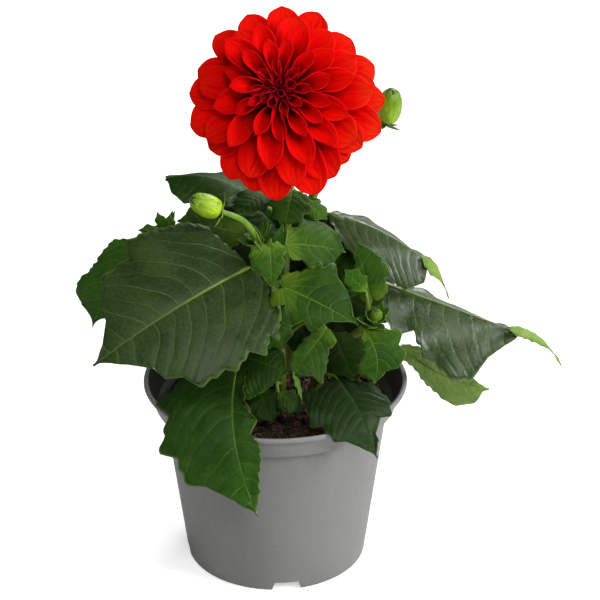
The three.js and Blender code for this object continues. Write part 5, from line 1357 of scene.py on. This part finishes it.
# One petal: rolled at its root and open towards its tip, with soft folds along it. Every
# second petal of a ring lies a little higher than its neighbours.
def add_petal(shape, ring, index, depth, draw):
    heading = heading_at(ring["angles"][index])
    lift = math.radians(ring["lift"] + 2 * next(draw))
    reach = ring["reaches"][index]
    rise = (reach - ring["root"]) * math.tan(lift) + EVERY_SECOND_HIGHER * (index % 2)
    base = heading * ring["root"] + np.array(EYE_OFFSET) + UPWARD * ring["height"]
    centre = np.array(EYE_OFFSET) * ring["shift"]
    tip = centre + heading * reach + UPWARD * (ring["height"] + rise)
    way = unit(tip - base)
    up = turn_about(UPWARD - way * way[2], way, math.radians(ring["roll"] + 4 * next(draw)))
    petal = {"base": base, "tip": tip, "up": up, "bow": ring["bow"], "sway": 0.9 * next(draw),
             "width": ring["width"] * (1 + 0.12 * next(draw)), "fold": (0, 0),
             "cup": ring["cup"], "open": 0.6}
    outline = ring["outline"]
    curve, _ = smooth_curve([(x, y, 0) for x, y in outline], [0] * len(outline), PETAL_STEPS)
    shares = np.arange(-PETAL_COLUMNS, PETAL_COLUMNS + 1) / PETAL_COLUMNS
    *_, flat_length = leaf_frame(petal)
    along = np.repeat(curve[:, :1] * flat_length, len(shares), axis=1)
    across = np.clip(curve[:, 1:2], 0.03, 1) * petal["width"] * shares
    rows = place_blade(petal, along, across)
    normals = unit(np.cross(np.gradient(rows, axis=1), np.gradient(rows, axis=0)))
    a = along / flat_length
    phase = next(draw)
    keel = -KEEL_DEPTH * np.exp(-(shares / 0.14) ** 2) * np.sin(math.pi * np.clip(a, 0, 1))
    folds = FOLD_HEIGHT * np.cos(5 * math.pi * shares + phase) * a
    ripple = PETAL_RIPPLE * shares ** 2 * np.sin(
        2 * math.pi * (1.3 * a + phase + 0.3 * (shares > 0))) * a
    scale = ring["width"] / 9 * (1 - 0.5 * depth)
    rows = rows + normals * (scale * (keel + folds + ripple))[..., None]
    thickness = PETAL_THICKNESS * (1 - 0.35 * np.abs(shares)) * np.ones_like(along)
    blade = np.stack([a, 0.5 + 0.5 * shares * np.ones_like(a)], -1)
    tip_share = np.maximum(np.abs(shares) * np.ones_like(a), np.clip(a, 0, 1) ** 8)
    edge = np.stack([tip_share, np.full_like(a, depth)], -1)
    add_blade(shape, rows, thickness, blade, edge, (0, 0))


bloom_shape = new_shape()
heart = rounded([(0, 0), (BLOOM_HEART, 0), (BLOOM_HEART, 3), (BLOOM_HEART * 0.7, 7.5), (0, 10)])
add_mesh(bloom_shape, *turned(heart, 32))
draw = make_draw(41)
for number, ring in enumerate(petal_rings):
    for index in range(len(ring["angles"])):
        add_petal(bloom_shape, ring, index, number / (len(petal_rings) - 1), draw)
face_bloom(bloom_shape)
make_piece("bloom_petals_soft", bloom_shape, [petal_red], "bloom_petals")

CUP_PROFILE = [(0, -0.4), (8.4, -0.4), (8.6, -2), (6.4, -6), (3, -9.4), (2.4, -11), (0, -11)]
BRACT_COUNT = 6
BRACT_OUTLINE = [(0, 2), (3, 2.6), (6, 2.8), (10, 1.6), (13, 0.3)]
calyx_shape = new_shape()
add_mesh(calyx_shape, *turned(rounded(CUP_PROFILE), 40))
for k in range(BRACT_COUNT):
    heading = heading_at(360 / BRACT_COUNT * k + 20)
    add_leaf(calyx_shape, {
        "base": heading * 5.6 + np.array((0, 0, -6)), "tip": heading * 17 + np.array((0, 0, -11)),
        "up": UPWARD, "bow": 1.5, "width": 2.8, "left": BRACT_OUTLINE, "right": BRACT_OUTLINE,
        "fold": (0, 0), "cup": (10, 10), "stalk_radius": 0.6, "ripple": 0.4,
    }, (1, 2, 0), YOUNG_LEAF_PAIRS, 6, 4, 0.03)
face_bloom(calyx_shape)
make_piece("bloom_calyx_grown", calyx_shape, [stem_skin, young_leaf_top, young_leaf_under],
           "bloom_calyx")


# The buds are closed, wrapped tightly in rows of juicy green bracts that overlap like
# tiles and meet in a point. Each sits on the end of its stem.
buds = {
    "bud_left": {"base": (-22.8, -27, 181.5), "axis": (-12.2, -3, 6.8), "length": 13.8,
                 "radius": 4.9, "tone": 1.0},
    "bud_back": {"base": (49.3, 20.1, 204.2), "axis": (0.16, -0.05, 1), "length": 15.6,
                 "radius": 5.5, "tone": 0.7},
    "bud_right": {"base": (44.1, -18.8, 125.9), "axis": (0.1, -0.5, 0.9), "length": 7,
                  "radius": 2.9, "tone": 0.45},
}

BUD_GREENS = ((0.08, 0.23, 0.004, 1.0), (0.44, 0.6, 0.012, 1.0))
BUD_TIP = (0.07, 0.17, 0.005, 1.0)
BUD_RIM = (0.46, 0.58, 0.025, 1.0)
BUD_SHADE = (0.02, 0.06, 0.002, 1.0)
bud_skin, tree, shader = new_material("bud_skin")
blade_map = map_place(tree, "blade")
edge_parts = split(tree, map_place(tree, "edge"))
streaks = mottle(tree, stretched(tree, blade_map, (0.8, 7.0, 1.0)), coarse=2.0, fine=7.0,
                 fine_share=0.4)
tip_share = times(tree, step_between(tree, split(tree, blade_map)[0], 0.4, 1.0), 0.6)
rim_share = times(tree, step_between(tree, edge_parts[0], 0.82, 1.0), 0.6)
green = mix_colours(tree, step_between(tree, streaks, 0.35, 0.65), BUD_GREENS[0], BUD_GREENS[1])
green = mix_colours(tree, tip_share, green, BUD_TIP)
green = mix_colours(tree, rim_share, green, BUD_RIM)
# Painted shade: a bud whose tone is low, deep in the foliage, darkens towards BUD_SHADE.
green = mix_colours(tree, edge_parts[1], BUD_SHADE, green)
tree.links.new(green, shader.inputs["Base Color"])
shader.inputs["Roughness"].default_value = 0.32
shader.inputs["Specular IOR Level"].default_value = 0.3
shader.inputs["Subsurface Weight"].default_value = 0.1
shader.inputs["Subsurface Radius"].default_value = (0.0012, 0.0016, 0.0004)
bump_into(tree, shader, streaks, 0.0002)

# The egg's half outline as shares of its radius and length, and the rows of bracts from the
# innermost out, with where they start and end on the egg and half the angle that each spans.
BUD_OUTLINE = [(0, 0), (0.5, 0), (0.82, 0.1), (0.98, 0.34), (0.95, 0.56), (0.72, 0.84),
               (0.35, 0.97), (0, 1)]
BRACT_ROWS = (
    {"count": 6, "start": 0.05, "end": 1.0, "half_degrees": 48},
    {"count": 5, "start": 0.02, "end": 0.92, "half_degrees": 58},
    {"count": 5, "start": 0.0, "end": 0.78, "half_degrees": 62},
)
BRACT_THICKNESS = 0.25
BRACT_LIE = 0.93
BRACT_STEP = 0.025


# Bracts of one bud: patches of the egg's own surface, each row a little prouder than the one
# inside it.
def add_bud(shape, bud):
    curve, _ = smooth_curve([(r, z, 0) for r, z in BUD_OUTLINE], [0] * len(BUD_OUTLINE), 8)
    radii = np.clip(curve[:, 0], 0, None) * bud["radius"]
    heights = curve[:, 1] * bud["length"]
    add_mesh(shape, *turned(list(zip(radii * BRACT_LIE, heights)), 32))
    u = np.linspace(0, 1, 22)[:, None]
    shares = np.linspace(-1, 1, 15)[None, :]
    for number, row in enumerate(BRACT_ROWS):
        height = (row["start"] + (row["end"] - row["start"]) * u) * bud["length"]
        width = math.radians(row["half_degrees"]) * (1 - u ** 3) ** 0.6
        lie = BRACT_LIE + BRACT_STEP * (number + 1) - 0.05 * shares ** 2 * (0.4 + 0.6 * u)
        radius = np.interp(height, heights, radii) * lie + 0.05
        flat = np.ones_like(radius)
        blade = np.stack([u * flat, 0.5 + 0.5 * shares * flat], -1)
        edge = np.stack([np.maximum(np.abs(shares), u ** 8), bud["tone"] * flat], -1)
        for k in range(row["count"]):
            turn = 2 * math.pi * (k + 0.5 * number) / row["count"] + width * shares
            rows = np.stack([radius * np.cos(turn), radius * np.sin(turn), height * flat], -1)
            add_blade(shape, rows, BRACT_THICKNESS * flat, blade, edge, (0, 0))
    facing = np.array(Vector((0, 0, 1)).rotation_difference(Vector(bud["axis"])).to_matrix())
    lifted = np.array(bud["base"]) + 0.3 * unit(np.array(bud["axis"], float))
    shape["points"] = [part @ facing.T + lifted for part in shape["points"]]


for name, bud in buds.items():
    shape = new_shape()
    add_bud(shape, bud)
    make_piece(name + "_wrapped", shape, [bud_skin], name)


# The studio: a plain pale floor, soft light from large panels, and the camera, which looks
# down at the plant from the front as the photograph's does.
FLOOR_SIZE = 6.0
FLOOR_DROP = 0.0002
FLOOR_GLOW = 0.55
WORLD_LIGHT = 0.26
floor_paper, tree, shader = new_material("floor_paper")
shader.inputs["Base Color"].default_value = (0.7, 0.7, 0.7, 1.0)
shader.inputs["Roughness"].default_value = 0.9
shader.inputs["Emission Color"].default_value = (1.0, 1.0, 1.0, 1.0)
seen = times(tree, add_node(tree, "LightPath").outputs["Is Camera Ray"], FLOOR_GLOW)
tree.links.new(seen, shader.inputs["Emission Strength"])
bpy.ops.mesh.primitive_plane_add(size=FLOOR_SIZE, location=(0, 0, -FLOOR_DROP))
floor = bpy.context.object
floor.name = "floor"
floor.data.materials.append(floor_paper)


def aimed(place, aim):
    return (Vector(aim) - Vector(place)).to_track_quat("-Z", "Y").to_euler()


PLANT_MIDDLE = (0.0, 0.0, 0.13)
PANELS = {
    "panel_right": {"place": (1.0, -0.45, 0.7), "size": 0.5, "power": 15.0},
    "panel_left": {"place": (-0.9, -0.8, 0.5), "size": 0.8, "power": 1.5},
    "panel_back": {"place": (0.5, 0.9, 0.95), "size": 0.8, "power": 16.0},
    "panel_front": {"place": (0.25, -1.1, 1.2), "size": 0.5, "power": 10.0},
}
for name, panel in PANELS.items():
    light = bpy.data.lights.new(name, "AREA")
    light.shape = "DISK"
    light.size = panel["size"]
    light.energy = panel["power"]
    lamp = bpy.data.objects.new(name, light)
    lamp.location = panel["place"]
    lamp.rotation_euler = aimed(panel["place"], PLANT_MIDDLE)
    bpy.context.collection.objects.link(lamp)

world = bpy.data.worlds.new("studio")
bpy.context.scene.world = world
world.use_nodes = True
world_light = world.node_tree.nodes["Background"]
world_light.inputs["Color"].default_value = (1.0, 1.0, 1.0, 1.0)
world_light.inputs["Strength"].default_value = WORLD_LIGHT
bpy.context.scene.view_settings.view_transform = "Standard"

CAMERA_PLACE = (0.0112, -0.81233, 0.51426)
CAMERA_AIM = (0.0112, 0.0, 0.1268)
SENSOR_MM = 36.0
LENS_MM = 120.6
NEAREST_SEEN = 0.05
camera_data = bpy.data.cameras.new("camera")
camera_data.sensor_width = SENSOR_MM
camera_data.lens = LENS_MM
camera_data.clip_start = NEAREST_SEEN
camera = bpy.data.objects.new("camera", camera_data)
camera.location = CAMERA_PLACE
camera.rotation_euler = aimed(CAMERA_PLACE, CAMERA_AIM)
bpy.context.collection.objects.link(camera)
bpy.context.scene.camera = camera

bpy.context.view_layer.update()
